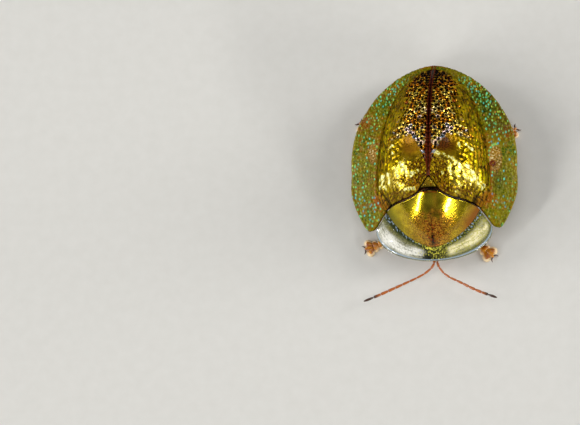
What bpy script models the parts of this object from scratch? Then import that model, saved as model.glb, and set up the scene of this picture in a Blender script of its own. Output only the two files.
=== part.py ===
"""A golden tortoise beetle at life size, standing still with its legs half drawn in.

The head points to -Y, the animal's own left side is at +X, and the floor is Z = 0.
All shapes are made in the body's own frame, whose Y = 0 is the widest station of the shell,
and an empty carries them to their place over the origin.
"""

import math

import bmesh
import bpy
import numpy as np
from mathutils import Vector

# Everything is drawn in millimetres, and each finished piece is scaled to metres.
METRE = 0.001

# The whole animal
SHELL_HALF_WIDTH = 2.86
SHELL_FRONT = 3.69  # semi-axis of the outline ahead of the widest station
SHELL_REAR = 3.46  # and behind it, where the wing cases end
REAR_POINTEDNESS = 0.26  # how far the rear outline leaves a true ellipse
POINTEDNESS_GROWS_OVER = 2.0
RIM_Z = 1.0  # top of the shell's edge above the floor
BRIM_RISE = 0.75  # the low cap that the see-through brim belongs to
BODY_Y = 0.70  # moves the middle of the box, feelers included, over the origin

# Gaps that keep neighbouring pieces apart
GAP = 0.2
FINE_GAP = 0.1

# Raised disc of the wing cases, an egg-shaped dome on the brim
DISC_Y = -0.90
DISC_HALF_WIDTH = 1.96
DISC_FRONT = 1.6
DISC_REAR = 4.2
DISC_RISE = 1.30
DOME_FULLNESS = 2.3
DOME_EDGE = 0.75
DENT_X, DENT_Y = 0.75, 0.15  # the shallow dent behind each shoulder hump
DENT_RADIUS = 0.36
DENT_DEPTH = 0.12
HUMP_X, HUMP_Y = 1.0, -0.72
HUMP_RADIUS = 0.5
HUMP_RISE = 0.07

# Shield over the head and fore body
SHIELD_HALF_WIDTH = 2.0
SHIELD_CORNER_Y = -2.40
SHIELD_REACH = 1.10  # from the corners' line to the front edge
SHIELD_SWEEP = math.radians(93)
BOSS_Y = -1.35  # raised middle of the shield, a rounded triangle
BOSS_HALF_WIDTH = 1.75
BOSS_LENGTH = 1.72
BOSS_POWER = 1.6
BOSS_RISE = 1.15
# Right half of the line where shield and wing cases meet, from the middle outwards
SEAM_LINE = (
    (0.0, -1.44), (0.30, -1.45), (0.55, -1.56), (0.82, -1.63), (1.20, -1.66),
    (1.55, -1.76), (1.75, -1.95), (1.94, -2.22), (2.10, -2.42),
)  # fmt: skip
SEAM_SAMPLES = 80

# Walls of the shell
WALL = 0.5
SHIELD_WALL = 0.32
EDGE_WALL = 0.18
WALL_GROWS_OVER = 0.5  # share of the outline over which the edge thickens to the full wall
DOME_WALL_SIDE = 0.45
DOME_WALL_TOP = 0.05  # what the dome's inside loses in height beside the wall

# Small triangle between the wing cases' roots
SCUTELLUM_HALF_WIDTH = 0.30
SCUTELLUM_LENGTH = 0.36

# Under side
VENTER_Z = 0.95
VENTER_HALF_WIDTH = 1.40
VENTER_LENGTH_SHARE = 0.92  # of the dome's inside
VENTER_EDGE_RISE = 0.12
STERNITES = 5
STERNITE_STEP = 0.05
PROSTERNUM = (-2.35, -1.78)
THORAX = (-1.58, 0.02)
ABDOMEN = (0.22, 2.46)

# Head, eyes and feelers
HEAD_AT = Vector((0, -2.78, 0.54))
HEAD_SEMI = Vector((0.50, 0.33, 0.33))
FACE_AT = Vector((0, -2.84, 0.36))
FACE_SEMI = Vector((0.30, 0.24, 0.22))
PALP_ROOT = Vector((0.15, -3.02, 0.27))
PALP_TIP = Vector((0.19, -3.17, 0.16))
PALP_RADII = (0.09, 0.07)
EYE_AT = Vector((0.50, -2.80, 0.57))
EYE_SEMI = Vector((0.20, 0.23, 0.26))
FEELER_LENGTHS = (1.5, 0.8, 1.1, 1.1, 1.0, 1.0, 1.0, 1.0, 1.0, 1.0, 1.4)  # of its joints, relative
FEELER_CLUB_FROM = 6
FEELER_RADIUS = 0.225
FEELER_CLUB_RADIUS = 0.243
FEELER_WAIST = 0.8  # each joint's root against its full radius
FEELER_ROOT_RADIUS = 0.13
FEELER_TIP_RADIUS = 0.10
FEELER_LEFT = ((0.25, -3.34, 0.50), (0.42, -3.83, 0.46), (1.11, -4.27, 0.45), (2.03, -4.64, 0.47))
FEELER_RIGHT = ((0.25, -3.34, 0.50), (0.42, -3.80, 0.46), (1.22, -4.11, 0.46), (2.48, -4.74, 0.52))

# Legs: root, knee, ankle and toe of each, X outwards
COXA_RADIUS = 0.25
THIGH_RADIUS = 0.21
THIGH_SWELL = 1.12  # how much stouter the thigh is at its middle
SHIN_ROOT_RADIUS = 0.17
SHIN_RADIUS = 0.20
PAD_RADIUS = 0.27
PAD_HALF_HEIGHT = 0.17
FOOT_JOINTS = ((0.16, 0.78), (0.42, 0.94))  # share of the foot's length, and width against the pad's
LOBE_AT, LOBE_WIDTH, LOBE_OFFSET = 0.68, 0.72, 0.48  # the split third joint
CLAW_AT, CLAW_OFFSET, CLAW_SPREAD = 0.80, 0.06, 0.15
CLAW_RADII = (0.12, 0.045)
FOOT_Z = 0.12
LEGS = {
    "leg_front_left": (1, (0.42, -2.08), (1.18, -1.98), (1.38, -2.66), (2.00, -3.24)),
    "leg_front_right": (-1, (0.42, -2.08), (1.40, -2.00), (1.84, -2.56), (2.56, -2.78)),
    "leg_middle_left": (1, (0.52, -0.80), (1.94, 0.04), (2.14, 0.84), (2.82, 1.44)),
    "leg_middle_right": (-1, (0.52, -0.80), (1.98, 0.16), (2.16, 1.16), (2.72, 1.82)),
    "leg_hind_left": (1, (0.50, -0.24), (1.34, 0.80), (1.66, 1.66), (1.46, 2.44)),
    "leg_hind_right": (-1, (0.50, -0.24), (1.30, 0.86), (1.70, 1.70), (1.54, 2.46)),
}
LEG_ROOT_Z = 0.50
KNEE_Z = 0.46
ANKLE_Z = 0.28

MERGE = 0.001
SHARP = math.radians(40)


def clear_scene():
    for obj in list(bpy.data.objects):
        bpy.data.objects.remove(obj)


def material(name, colour, roughness, metallic=0.0):
    made = bpy.data.materials.new(name)
    made.use_nodes = True
    shader = made.node_tree.nodes["Principled BSDF"]
    shader.inputs["Base Color"].default_value = (*colour, 1)
    shader.inputs["Roughness"].default_value = roughness
    shader.inputs["Metallic"].default_value = metallic
    return made


def smooth_step(t):
    t = np.clip(t, 0, 1)
    return t * t * (3 - 2 * t)


def side_power(y):
    """Exponent of the outline across the body, lower behind so that the rear is a little pointed."""
    return 2 - REAR_POINTEDNESS * smooth_step(y / POINTEDNESS_GROWS_OVER)


def length_share(y):
    return y / np.where(y < 0, SHELL_FRONT, SHELL_REAR)


def half_width(y):
    """Half the shell's width at a station."""
    left_over = np.clip(1 - length_share(y) ** 2, 0, 1)
    return SHELL_HALF_WIDTH * left_over ** (1 / side_power(y))


def outline_share(x, y):
    """0 over the middle, 1 on the shell's outline."""
    across = (np.abs(x) / SHELL_HALF_WIDTH) ** side_power(y)
    return np.clip(across + length_share(y) ** 2, 0, 1)


def brim(x, y):
    return RIM_Z + BRIM_RISE * (1 - outline_share(x, y))


def wall_down(x, y):
    """Thickness of the brim, thin at the edge."""
    grown = np.clip((1 - outline_share(x, y)) / WALL_GROWS_OVER, 0, 1)
    return EDGE_WALL + (WALL - EDGE_WALL) * grown


def disc(x, y, taken_in=0.0, lowered=0.0):
    """Height of the wing cases' dome over the brim. taken_in and lowered give its inside."""
    along = (y - DISC_Y) / (np.where(y < DISC_Y, DISC_FRONT, DISC_REAR) - taken_in)
    across = x / (DISC_HALF_WIDTH - taken_in)
    share = np.sqrt(along**2 + across**2)
    return (DISC_RISE - lowered) * np.clip(1 - share**DOME_FULLNESS, 0, 1) ** DOME_EDGE


def boss(x, y, taken_in=0.0, lowered=0.0):
    """Height of the shield's raised middle over the brim."""
    across = (np.abs(x) / (BOSS_HALF_WIDTH - taken_in)) ** BOSS_POWER
    along = (np.abs(y - BOSS_Y) / (BOSS_LENGTH - taken_in)) ** BOSS_POWER
    share = (across + along) ** (1 / BOSS_POWER)
    return (BOSS_RISE - lowered) * np.clip(1 - share**1.5, 0, 1) ** 0.9


def relief(x, y):
    """The shoulder humps of the wing cases and the dents behind them."""

    def spot(at_x, at_y, radius):
        away = (np.abs(x) - at_x) ** 2 + (y - at_y) ** 2
        return np.exp(-away / radius**2)

    return HUMP_RISE * spot(HUMP_X, HUMP_Y, HUMP_RADIUS) - DENT_DEPTH * spot(
        DENT_X, DENT_Y, DENT_RADIUS
    )


def elytra_top(x, y):
    return brim(x, y) + disc(x, y) + relief(x, y)


def elytra_under(x, y):
    return brim(x, y) - wall_down(x, y) + disc(x, y, DOME_WALL_SIDE, DOME_WALL_TOP)


def shield_top(x, y):
    return brim(x, y) + boss(x, y)


def shield_wall(x, y):
    """The shield thickens from its own front edge inwards."""
    ahead = np.minimum(y - SHIELD_CORNER_Y, 0) / SHIELD_REACH
    from_edge = 1 - np.hypot(x / SHIELD_HALF_WIDTH, ahead)
    return EDGE_WALL + (SHIELD_WALL - EDGE_WALL) * np.clip(from_edge / WALL_GROWS_OVER, 0, 1)


def shield_under(x, y):
    return brim(x, y) - shield_wall(x, y) + boss(x, y, DOME_WALL_SIDE, DOME_WALL_TOP)


def smooth_line(points, count):
    """A curve through the points with smooth bends, evenly sampled from each point to the next."""
    knots = np.array([2 * points[0] - points[1], *points, 2 * points[-1] - points[-2]])
    at = np.linspace(0, len(points) - 1, count)
    span = np.minimum(at.astype(int), len(points) - 2)
    t = (at - span)[:, None]
    before, start, end, after = (knots[span + k] for k in range(4))
    bend = 2 * before - 5 * start + 4 * end - after
    twist = 3 * start - before - 3 * end + after
    return start + 0.5 * ((end - before) * t + bend * t**2 + twist * t**3)


def resampled(line, shares):
    """Points at the given shares of a line's length."""
    steps = np.linalg.norm(np.diff(line, axis=0), axis=1)
    along = np.concatenate([[0], np.cumsum(steps)]) / steps.sum()
    return np.stack([np.interp(shares, along, line[:, k]) for k in range(line.shape[1])], axis=1)


def seam(moved):
    """The seam's line in plan, moved by a distance towards the rear, from the middle outwards."""
    half = np.array(SEAM_LINE)
    both = np.concatenate([half[:0:-1] * (-1, 1), half])
    line = smooth_line(both, 2 * SEAM_SAMPLES + 1)
    tangent = np.gradient(line, axis=0)
    normal = np.stack([-tangent[:, 1], tangent[:, 0]], axis=1)
    normal /= np.linalg.norm(normal, axis=1)[:, None]
    return (line + moved * normal)[SEAM_SAMPLES:]


def plate(name, plan, top, under, finish):
    """A grid laid over the plan points and grown to a closed plate between two height functions."""
    rows, columns = plan.shape[:2]
    work = bmesh.new()
    bmesh.ops.create_grid(work, x_segments=columns - 1, y_segments=rows - 1, size=0.5)
    grown = bmesh.ops.extrude_face_region(work, geom=work.faces[:], use_keep_orig=True)
    lower = {item for item in grown["geom"] if isinstance(item, bmesh.types.BMVert)}
    for vert in work.verts:
        row = round((vert.co.y + 0.5) * (rows - 1))
        column = round((vert.co.x + 0.5) * (columns - 1))
        x, y = plan[row, column]
        height = under if vert in lower else top
        vert.co = (x, y, float(height(x, y)))
    mesh = bpy.data.meshes.new(name)
    work.to_mesh(mesh)
    work.free()
    return finished(name, mesh, finish)


def finished(name, mesh, finish):
    """Welds, closes and shades a mesh, and makes it an object of the beetle."""
    work = bmesh.new()
    work.from_mesh(mesh)
    bmesh.ops.remove_doubles(work, verts=work.verts, dist=MERGE)
    bmesh.ops.dissolve_degenerate(work, edges=work.edges, dist=MERGE)
    bmesh.ops.triangulate(work, faces=work.faces, quad_method="FIXED")
    bmesh.ops.recalc_face_normals(work, faces=work.faces)
    if work.calc_volume(signed=True) < 0:
        bmesh.ops.reverse_faces(work, faces=work.faces)
    bmesh.ops.scale(work, verts=work.verts, vec=(METRE, METRE, METRE))
    work.to_mesh(mesh)
    work.free()
    mesh.materials.append(finish)
    mesh.shade_smooth()
    mesh.set_sharp_from_angle(angle=SHARP)
    obj = bpy.data.objects.new(name, mesh)
    beetle.objects.link(obj)
    obj.parent = stand_point
    return obj


def mirrored(plan):
    return plan * np.array([-1, 1])


def elytron_plan(rows=29, columns=17):
    """Plan grid of one wing case: rows from the seam to the tip, columns from the suture to the rim."""
    v = np.linspace(0, 1, rows)
    u = np.linspace(0, 1, columns)
    suture_x = GAP / 2
    tip_y = SEAM_LINE[0][1] + SCUTELLUM_LENGTH + GAP
    front = seam(GAP / 2)
    front = front[front[:, 0] > SCUTELLUM_HALF_WIDTH + FINE_GAP]
    corner = front[-1]
    front = np.concatenate([[[suture_x, tip_y]], front])
    start = math.asin(corner[1] / SHELL_FRONT)
    turn = start + (math.pi / 2 - start) * v
    rim_y = np.sin(turn) * np.where(turn < 0, SHELL_FRONT, SHELL_REAR)
    rim_x = np.maximum(half_width(rim_y), suture_x)
    rim_x += (corner[0] - rim_x[0]) * (1 - v) ** 8
    inner = np.stack([np.full(rows, suture_x), tip_y + (SHELL_REAR - tip_y) * v**1.1], axis=1)
    outer = np.stack([rim_x, rim_y], axis=1)
    ruled = inner[:, None] + (outer - inner)[:, None] * u[None, :, None]
    bend = resampled(front, u) - ruled[0]
    return ruled + (1 - v)[:, None, None] ** 3 * bend[None]


def shield_plan(rows=15, columns=37):
    """Plan grid of the shield: rows from the seam to the front edge, columns from side to side."""
    sweep = np.linspace(-1, 1, columns)
    edge_x = SHIELD_HALF_WIDTH * np.sin(sweep * SHIELD_SWEEP)
    edge_y = SHIELD_CORNER_Y - SHIELD_REACH * np.cos(sweep * SHIELD_SWEEP)
    edge = np.stack([edge_x, edge_y], axis=1)
    half = seam(-GAP / 2)
    half = np.concatenate([half[half[:, 0] < edge[-1, 0]], [edge[-1]]])
    hind = resampled(half, np.abs(sweep)) * np.stack([np.sign(sweep), np.ones(columns)], axis=1)
    forward = np.linspace(0, 1, rows)[:, None, None]
    return hind[None] + (edge - hind)[None] * forward


def body_plan(ends, rows, columns=15):
    """Plan grid of a length of the under side, between two stations."""
    y = np.linspace(*ends, rows)
    reach = np.where(y < DISC_Y, DISC_FRONT, DISC_REAR) - DOME_WALL_SIDE
    left_over = 1 - ((y - DISC_Y) / (VENTER_LENGTH_SHARE * reach)) ** 2
    width = VENTER_HALF_WIDTH * np.sqrt(np.clip(left_over, 0.05, 1))
    across = np.linspace(-1, 1, columns)
    return np.stack([width[:, None] * across, np.repeat(y[:, None], columns, axis=1)], axis=-1)


def venter(x, y):
    """Height of the under side, with the steps between the belly's rings."""
    span = (ABDOMEN[1] - ABDOMEN[0]) / STERNITES
    ring = np.clip((y - ABDOMEN[0]) / span, 0, STERNITES - 1e-6)
    step = STERNITE_STEP * np.where(y > ABDOMEN[0], ring % 1, 0)
    return VENTER_Z + VENTER_EDGE_RISE * (x / VENTER_HALF_WIDTH) ** 2 + step


def body_top(x, y):
    """The body fills the shell up to a gap under it, and near the seam under the lower plate."""
    seam_y = SEAM_LINE[0][1]
    under_shield = np.where(y < seam_y + 3 * GAP, shield_under(x, y), np.inf)
    under_wings = np.where(y > seam_y - 2 * GAP, elytra_under(x, y), np.inf)
    return np.maximum(np.minimum(under_shield, under_wings) - GAP, venter(x, y) + EDGE_WALL)


def scutellum_plan(rows=4, columns=5):
    """Plan grid of the small triangle, from its base to its tip."""
    base_y = SEAM_LINE[0][1] + FINE_GAP
    along = np.linspace(0, 1, rows)
    width = SCUTELLUM_HALF_WIDTH * (1 - along)
    across = np.linspace(-1, 1, columns)
    y = base_y + SCUTELLUM_LENGTH * along
    return np.stack([width[:, None] * across, np.repeat(y[:, None], columns, axis=1)], axis=-1)


def ball(at, semi, segments=12, rings=8):
    """A loose ellipsoid to be joined to others."""
    mesh = bpy.data.meshes.new("ball")
    work = bmesh.new()
    bmesh.ops.create_uvsphere(work, u_segments=segments, v_segments=rings, radius=1)
    for vert in work.verts:
        vert.co = Vector(at) + Vector(a * b for a, b in zip(vert.co, semi))
    work.to_mesh(mesh)
    work.free()
    return bpy.data.objects.new("ball", mesh)


def as_cutter(obj):
    obj.display_type = "WIRE"
    obj.hide_render = True
    cutters.objects.link(obj)
    return obj


def box(name, at, half):
    """A box that cuts."""
    mesh = bpy.data.meshes.new(name)
    work = bmesh.new()
    bmesh.ops.create_cube(work, size=2)
    for vert in work.verts:
        vert.co = Vector(at) + Vector(a * b for a, b in zip(vert.co, half))
    work.to_mesh(mesh)
    work.free()
    return as_cutter(bpy.data.objects.new(name, mesh))


def capsule(start, end, start_radius, end_radius, segments=10, rings=7):
    """A loose limb segment: a sphere of an odd number of bands, with its halves moved to the two ends."""
    turn = (end - start).to_track_quat("Z", "Y")
    mesh = bpy.data.meshes.new("capsule")
    work = bmesh.new()
    bmesh.ops.create_uvsphere(work, u_segments=segments, v_segments=rings, radius=1)
    for vert in work.verts:
        far = vert.co.z > 0
        vert.co = (end if far else start) + turn @ (vert.co * (end_radius if far else start_radius))
    work.to_mesh(mesh)
    work.free()
    return bpy.data.objects.new("capsule", mesh)


def keep_largest(mesh):
    """Drops every closed surface but the largest."""
    work = bmesh.new()
    work.from_mesh(mesh)
    left = set(work.verts)
    groups = []
    while left:
        stack = [left.pop()]
        group = set(stack)
        while stack:
            for edge in stack.pop().link_edges:
                for vert in edge.verts:
                    if vert in left:
                        left.remove(vert)
                        group.add(vert)
                        stack.append(vert)
        groups.append(group)
    largest = max(groups, key=len)
    spare = [vert for vert in work.verts if vert not in largest]
    bmesh.ops.delete(work, geom=spare, context="VERTS")
    work.to_mesh(mesh)
    work.free()


def joined(name, pieces, cutters=()):
    """One closed body from overlapping pieces, by a single union, less what the cutters take away."""
    group = bpy.data.collections.new(name + "_pieces")
    bpy.context.scene.collection.children.link(group)
    first, *others = pieces
    bpy.context.scene.collection.objects.link(first)
    for piece in others:
        group.objects.link(piece)
    union = first.modifiers.new("union", "BOOLEAN")
    union.operation = "UNION"
    union.operand_type = "COLLECTION"
    union.collection = group
    union.solver = "EXACT"
    for cutter in cutters:
        cut = first.modifiers.new("cut", "BOOLEAN")
        cut.operation = "DIFFERENCE"
        cut.object = cutter
        cut.solver = "MANIFOLD"
    bpy.context.view_layer.update()
    graph = bpy.context.evaluated_depsgraph_get()
    mesh = bpy.data.meshes.new_from_object(first.evaluated_get(graph))
    for piece in pieces:
        bpy.data.objects.remove(piece)
    bpy.data.collections.remove(group)
    mesh.name = name
    mesh.materials.clear()
    keep_largest(mesh)
    return mesh


def leg(name, side, root, knee, ankle, toe, finish):
    """Hip, thigh, shin, three padded foot joints and two claws, fused to one body with flat soles."""

    def joint(plan, z):
        return Vector((side * plan[0], plan[1], z))

    root, knee, ankle = joint(root, LEG_ROOT_Z), joint(knee, KNEE_Z), joint(ankle, ANKLE_Z)
    toe = joint(toe, FOOT_Z)
    heel = Vector((ankle.x, ankle.y, FOOT_Z))
    forward = (toe - heel).normalized()
    sideways = Vector((-forward.y, forward.x, 0))
    pieces = [
        ball(root, [COXA_RADIUS] * 3),
        capsule(root, knee, THIGH_RADIUS * 0.86, THIGH_RADIUS),
        capsule(root.lerp(knee, 0.30), root.lerp(knee, 0.62), THIGH_RADIUS, THIGH_RADIUS * THIGH_SWELL),
        capsule(knee, ankle, SHIN_ROOT_RADIUS, SHIN_RADIUS),
    ]
    for share, width in FOOT_JOINTS:
        wide = width * PAD_RADIUS
        pieces.append(ball(heel.lerp(toe, share), (wide, wide, PAD_HALF_HEIGHT), 10, 6))
    for hand in (-1, 1):
        lobe = heel.lerp(toe, LOBE_AT) + sideways * hand * LOBE_OFFSET * PAD_RADIUS
        wide = LOBE_WIDTH * PAD_RADIUS
        pieces.append(ball(lobe, (wide, wide, 0.97 * PAD_HALF_HEIGHT), 10, 6))
        claw_root = heel.lerp(toe, CLAW_AT) + sideways * hand * CLAW_OFFSET
        claw_tip = toe + sideways * hand * CLAW_SPREAD
        pieces.append(capsule(claw_root, claw_tip, *CLAW_RADII, 8, 5))
    return finished(name, joined(name, pieces, [floor_cutter]), finish)


def feeler(name, side, path, finish):
    """Eleven beads on a smooth bent line, each narrow at its root."""
    line = smooth_line(np.array(path) * (side, 1, 1), 121)
    joints = np.concatenate([[0], np.cumsum(FEELER_LENGTHS)]) / sum(FEELER_LENGTHS)
    last = len(FEELER_LENGTHS) - 1
    shares, radii = [], []
    for k in range(last + 1):
        full = FEELER_RADIUS if k < FEELER_CLUB_FROM else FEELER_CLUB_RADIUS
        root = FEELER_ROOT_RADIUS if k == 0 else FEELER_WAIST * full
        tip = FEELER_TIP_RADIUS if k == last else full
        step = joints[k + 1] - joints[k]
        shares += [joints[k] + 0.02 * step, joints[k] + 0.55 * step, joints[k] + 0.92 * step]
        radii += [root, full, tip]
    curve = bpy.data.curves.new(name, "CURVE")
    curve.dimensions = "3D"
    curve.bevel_depth = 1.0
    curve.bevel_resolution = 2
    curve.use_fill_caps = True
    spline = curve.splines.new("POLY")
    spline.points.add(len(shares) - 1)
    for point, at, radius in zip(spline.points, resampled(line, shares), radii):
        point.co = (*at, 1)
        point.radius = radius
    holder = bpy.data.objects.new(name + "_line", curve)
    bpy.context.scene.collection.objects.link(holder)
    bpy.context.view_layer.update()
    graph = bpy.context.evaluated_depsgraph_get()
    mesh = bpy.data.meshes.new_from_object(holder.evaluated_get(graph))
    mesh.name = name
    bpy.data.objects.remove(holder)
    mesh.materials.clear()
    return finished(name, mesh, finish)


clear_scene()
beetle = bpy.data.collections.new("tortoise_beetle")
bpy.context.scene.collection.children.link(beetle)
cutters = bpy.data.collections.new("cutters")
bpy.context.scene.collection.children.link(cutters)
cutters.hide_render = True
floor_cutter = box("floor_cutter", (0, 0, -1), (10, 10, 1))
stand_point = bpy.data.objects.new("stand_point", None)
stand_point.location = (0, BODY_Y * METRE, 0)
beetle.objects.link(stand_point)

gold = material("gold_shell", (0.62, 0.40, 0.05), 0.22, 0.9)
gold_shield = material("gold_shield", (0.66, 0.45, 0.06), 0.2, 0.9)
brown = material("brown_cuticle", (0.16, 0.06, 0.02), 0.35)
amber = material("amber_cuticle", (0.62, 0.26, 0.04), 0.35)
pale = material("pale_feet", (0.72, 0.38, 0.08), 0.45)
black = material("black_eye", (0.02, 0.012, 0.01), 0.2)

wing_case = elytron_plan()
plate("elytron_left", wing_case, elytra_top, elytra_under, gold)
plate("elytron_right", mirrored(wing_case), elytra_top, elytra_under, gold)
plate("pronotum", shield_plan(), shield_top, shield_under, gold_shield)
plate(
    "scutellum",
    scutellum_plan(),
    lambda x, y: elytra_top(x, y) - 0.02,
    lambda x, y: elytra_top(x, y) - WALL,
    gold,
)
plate("prosternum", body_plan(PROSTERNUM, 6, 11), body_top, venter, amber)
plate("thorax", body_plan(THORAX, 11), body_top, venter, brown)
plate("abdomen", body_plan(ABDOMEN, 6 * STERNITES + 1), body_top, venter, brown)

sockets = []
for side_name, side in (("left", 1), ("right", -1)):
    eye_at = Vector((side * EYE_AT.x, EYE_AT.y, EYE_AT.z))
    eye = ball(eye_at, EYE_SEMI, 14, 10)
    finished("eye_" + side_name, eye.data, black)
    socket = ball(eye_at, EYE_SEMI + Vector([FINE_GAP] * 3), 14, 10)
    socket.name = "socket_" + side_name
    sockets.append(as_cutter(socket))
skull = [ball(HEAD_AT, HEAD_SEMI, 16, 10), ball(FACE_AT, FACE_SEMI, 12, 8)]
for side in (-1, 1):
    root = Vector((side * PALP_ROOT.x, PALP_ROOT.y, PALP_ROOT.z))
    tip = Vector((side * PALP_TIP.x, PALP_TIP.y, PALP_TIP.z))
    skull.append(capsule(root, tip, *PALP_RADII, 8, 5))
finished("head", joined("head", skull, sockets), amber)
feeler("antenna_left", 1, FEELER_LEFT, amber)
feeler("antenna_right", -1, FEELER_RIGHT, amber)
for leg_name, (side, *joints) in LEGS.items():
    leg(leg_name, side, *joints, pale)
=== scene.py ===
"""A golden tortoise beetle at life size, dressed over its fixed frame.

The head points to -Y and the beetle's own left side is at +X. Every piece is drawn in
millimetres in the body's own frame, whose Y = 0 is the widest station of the shell, and is
scaled to metres and set over its place when it is finished.
"""

import math

import bpy
import numpy as np
from mathutils import Matrix, Vector
from mathutils.kdtree import KDTree


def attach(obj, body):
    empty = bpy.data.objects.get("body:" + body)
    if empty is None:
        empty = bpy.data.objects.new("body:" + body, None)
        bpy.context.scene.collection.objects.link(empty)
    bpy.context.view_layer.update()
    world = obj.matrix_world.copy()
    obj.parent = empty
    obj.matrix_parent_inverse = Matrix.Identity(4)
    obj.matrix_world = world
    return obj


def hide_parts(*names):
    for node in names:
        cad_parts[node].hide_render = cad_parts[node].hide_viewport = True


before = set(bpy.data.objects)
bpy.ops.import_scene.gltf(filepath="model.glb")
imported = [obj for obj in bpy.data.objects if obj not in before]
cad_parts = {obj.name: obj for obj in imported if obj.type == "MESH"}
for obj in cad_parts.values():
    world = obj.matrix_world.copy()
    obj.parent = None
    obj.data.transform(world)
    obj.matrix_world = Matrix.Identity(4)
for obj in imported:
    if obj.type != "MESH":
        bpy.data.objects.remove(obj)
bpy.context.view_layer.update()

# The floor is a sheet of heavy drawing paper, pale and matt, laid flat under the feet.
# Felt rollers left a faint tooth in it, which only softens its light.
FLOOR_SIZE = 1.2
FLOOR_DROP = 0.000002  # keeps the flat soles from lying in the paper's own plane
PAPER_TOOTH = 0.0004
PAPER_TOOTH_DEPTH = 0.00001


def linear(code):
    """The linear colour of an sRGB hex code."""
    parts = [int(code[k : k + 2], 16) / 255 for k in (1, 3, 5)]
    return tuple(p / 12.92 if p <= 0.04045 else ((p + 0.055) / 1.055) ** 2.4 for p in parts) + (1.0,)


def set_inputs(made, node, inputs):
    """Gives a node's inputs, by name or number, their values, colour codes or links."""
    for name, value in inputs.items():
        if isinstance(value, bpy.types.NodeSocket):
            made.node_tree.links.new(value, node.inputs[name])
        else:
            node.inputs[name].default_value = linear(value) if isinstance(value, str) else value


def add_node(made, kind, inputs, out=0, stops=(), **settings):
    """Adds a node with its settings, inputs and a ramp's evenly spaced colours, and gives its output."""
    new = made.node_tree.nodes.new("ShaderNode" + kind)
    for name, value in settings.items():
        setattr(new, name, value)
    set_inputs(made, new, inputs)
    for number in range(1, len(stops) - 1):
        new.color_ramp.elements.new(number / (len(stops) - 1))
    for number, code in enumerate(stops):
        new.color_ramp.elements[number].color = linear(code)
    return new.outputs[out]


def new_material(name):
    """An empty node material, the shader that it ends in, and the places on the piece in metres."""
    made = bpy.data.materials.new(name)
    made.use_nodes = True
    place = add_node(made, "TexCoord", {}, out="Object")
    return made, made.node_tree.nodes["Principled BSDF"], place


bpy.ops.object.select_all(action="DESELECT")
bpy.ops.mesh.primitive_plane_add(size=FLOOR_SIZE, location=(0, 0, -FLOOR_DROP))
floor = bpy.context.object
floor.name = "paper_floor"
# Pressed cotton pulp, smoothed between felts: quite matt, with a tooth too fine to cast shadows.
# The tooth is drawn coarser than the real one, or it wouldn't show at all.
paper, shader, place = new_material("felt_finished_paper")
# A Mix node's two colours are its inputs 6 and 7, and the colour that it gives is its output 2.
tooth = add_node(paper, "TexNoise", {"Vector": place, "Scale": 1 / PAPER_TOOTH, "Detail": 3})
shade = add_node(paper, "Mix", {"Factor": tooth, 6: "#d9d7d0", 7: "#e1dfd9"}, out=2, data_type="RGBA")
bump = add_node(paper, "Bump", {"Height": tooth, "Strength": 0.15, "Distance": PAPER_TOOTH_DEPTH})
set_inputs(paper, shader, {"Base Color": shade, "Normal": bump, "Roughness": 0.9})
floor.data.materials.append(paper)

# Two narrow strip softboxes stand ahead of the beetle, one to each side and each leaning, as a macro
# photographer sets them to draw two long highlights on a shield. Two wider ones stand beside it, a
# lit sheet hangs over it a little behind, and a dim even dome fills the shadows.
LAMP_DISTANCE = 0.5
LAMPS = {  # azimuth, elevation and lean in degrees, width and height in metres, and watts
    "front_softbox_left": (-54, 25, 28, 0.05, 0.28, 1.2),
    "front_softbox_right": (50, 18, -72, 0.035, 0.22, 0.9),
    "side_softbox_left": (-98, 20, 0, 0.16, 0.40, 1.5),
    "side_softbox_right": (100, 20, 0, 0.16, 0.40, 1.8),
    "overhead_sheet": (180, 76, 0, 0.30, 0.26, 0.4),
}
DOME_COLOUR = "#f4f6fa"
DOME_STRENGTH = 0.12
for lamp_name, (azimuth, elevation, lean, width, height, watts) in LAMPS.items():
    around, over = math.radians(azimuth), math.radians(elevation)
    flat = math.cos(over)
    towards = Vector((math.sin(around) * flat, -math.cos(around) * flat, math.sin(over)))
    turn = towards.to_track_quat("Z", "Y").to_matrix() @ Matrix.Rotation(math.radians(lean), 3, "Z")
    bpy.ops.object.light_add(type="AREA", location=towards * LAMP_DISTANCE, rotation=turn.to_euler())
    softbox = bpy.context.object
    softbox.name = lamp_name
    softbox.data.shape = "RECTANGLE"
    softbox.data.size, softbox.data.size_y = width, height
    softbox.data.energy = watts
sky = bpy.data.worlds.new("dim_dome")
bpy.context.scene.world = sky
sky.use_nodes = True
set_inputs(sky, sky.node_tree.nodes["Background"], {"Color": DOME_COLOUR, "Strength": DOME_STRENGTH})
bpy.context.scene.view_settings.view_transform = "Standard"

# A camera with a long macro lens looks down on the beetle from a little ahead and to its left.
# The middle of the picture lies beside the beetle, at the height of its shell's rim.
MM = 0.001
BODY_Y = 0.70
PICTURE_SCALE = 29.3  # dots of the picture to a millimetre
PICTURE_WIDTH = 580  # dots
SENSOR = 36
CAMERA_DISTANCE = 250
CAMERA_SIDE = Vector((0.118, -0.262, 0.958)).normalized()
LOOK_AT = Vector((-4.95, -1.61 + BODY_Y, 1.0))
right = Vector((CAMERA_SIDE.z, 0, -CAMERA_SIDE.x)).normalized()
up = CAMERA_SIDE.cross(right)
bpy.ops.object.camera_add()
camera = bpy.context.object
camera.name = "macro_camera"
camera.data.sensor_width = SENSOR
camera.data.lens = PICTURE_SCALE * CAMERA_DISTANCE * SENSOR / PICTURE_WIDTH
camera.data.clip_start, camera.data.clip_end = 0.01, 10
camera.matrix_world = Matrix.Translation((LOOK_AT + CAMERA_SIDE * CAMERA_DISTANCE) * MM) @ (
    Matrix((right, up, CAMERA_SIDE)).transposed().to_4x4()
)
bpy.context.scene.camera = camera

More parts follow.
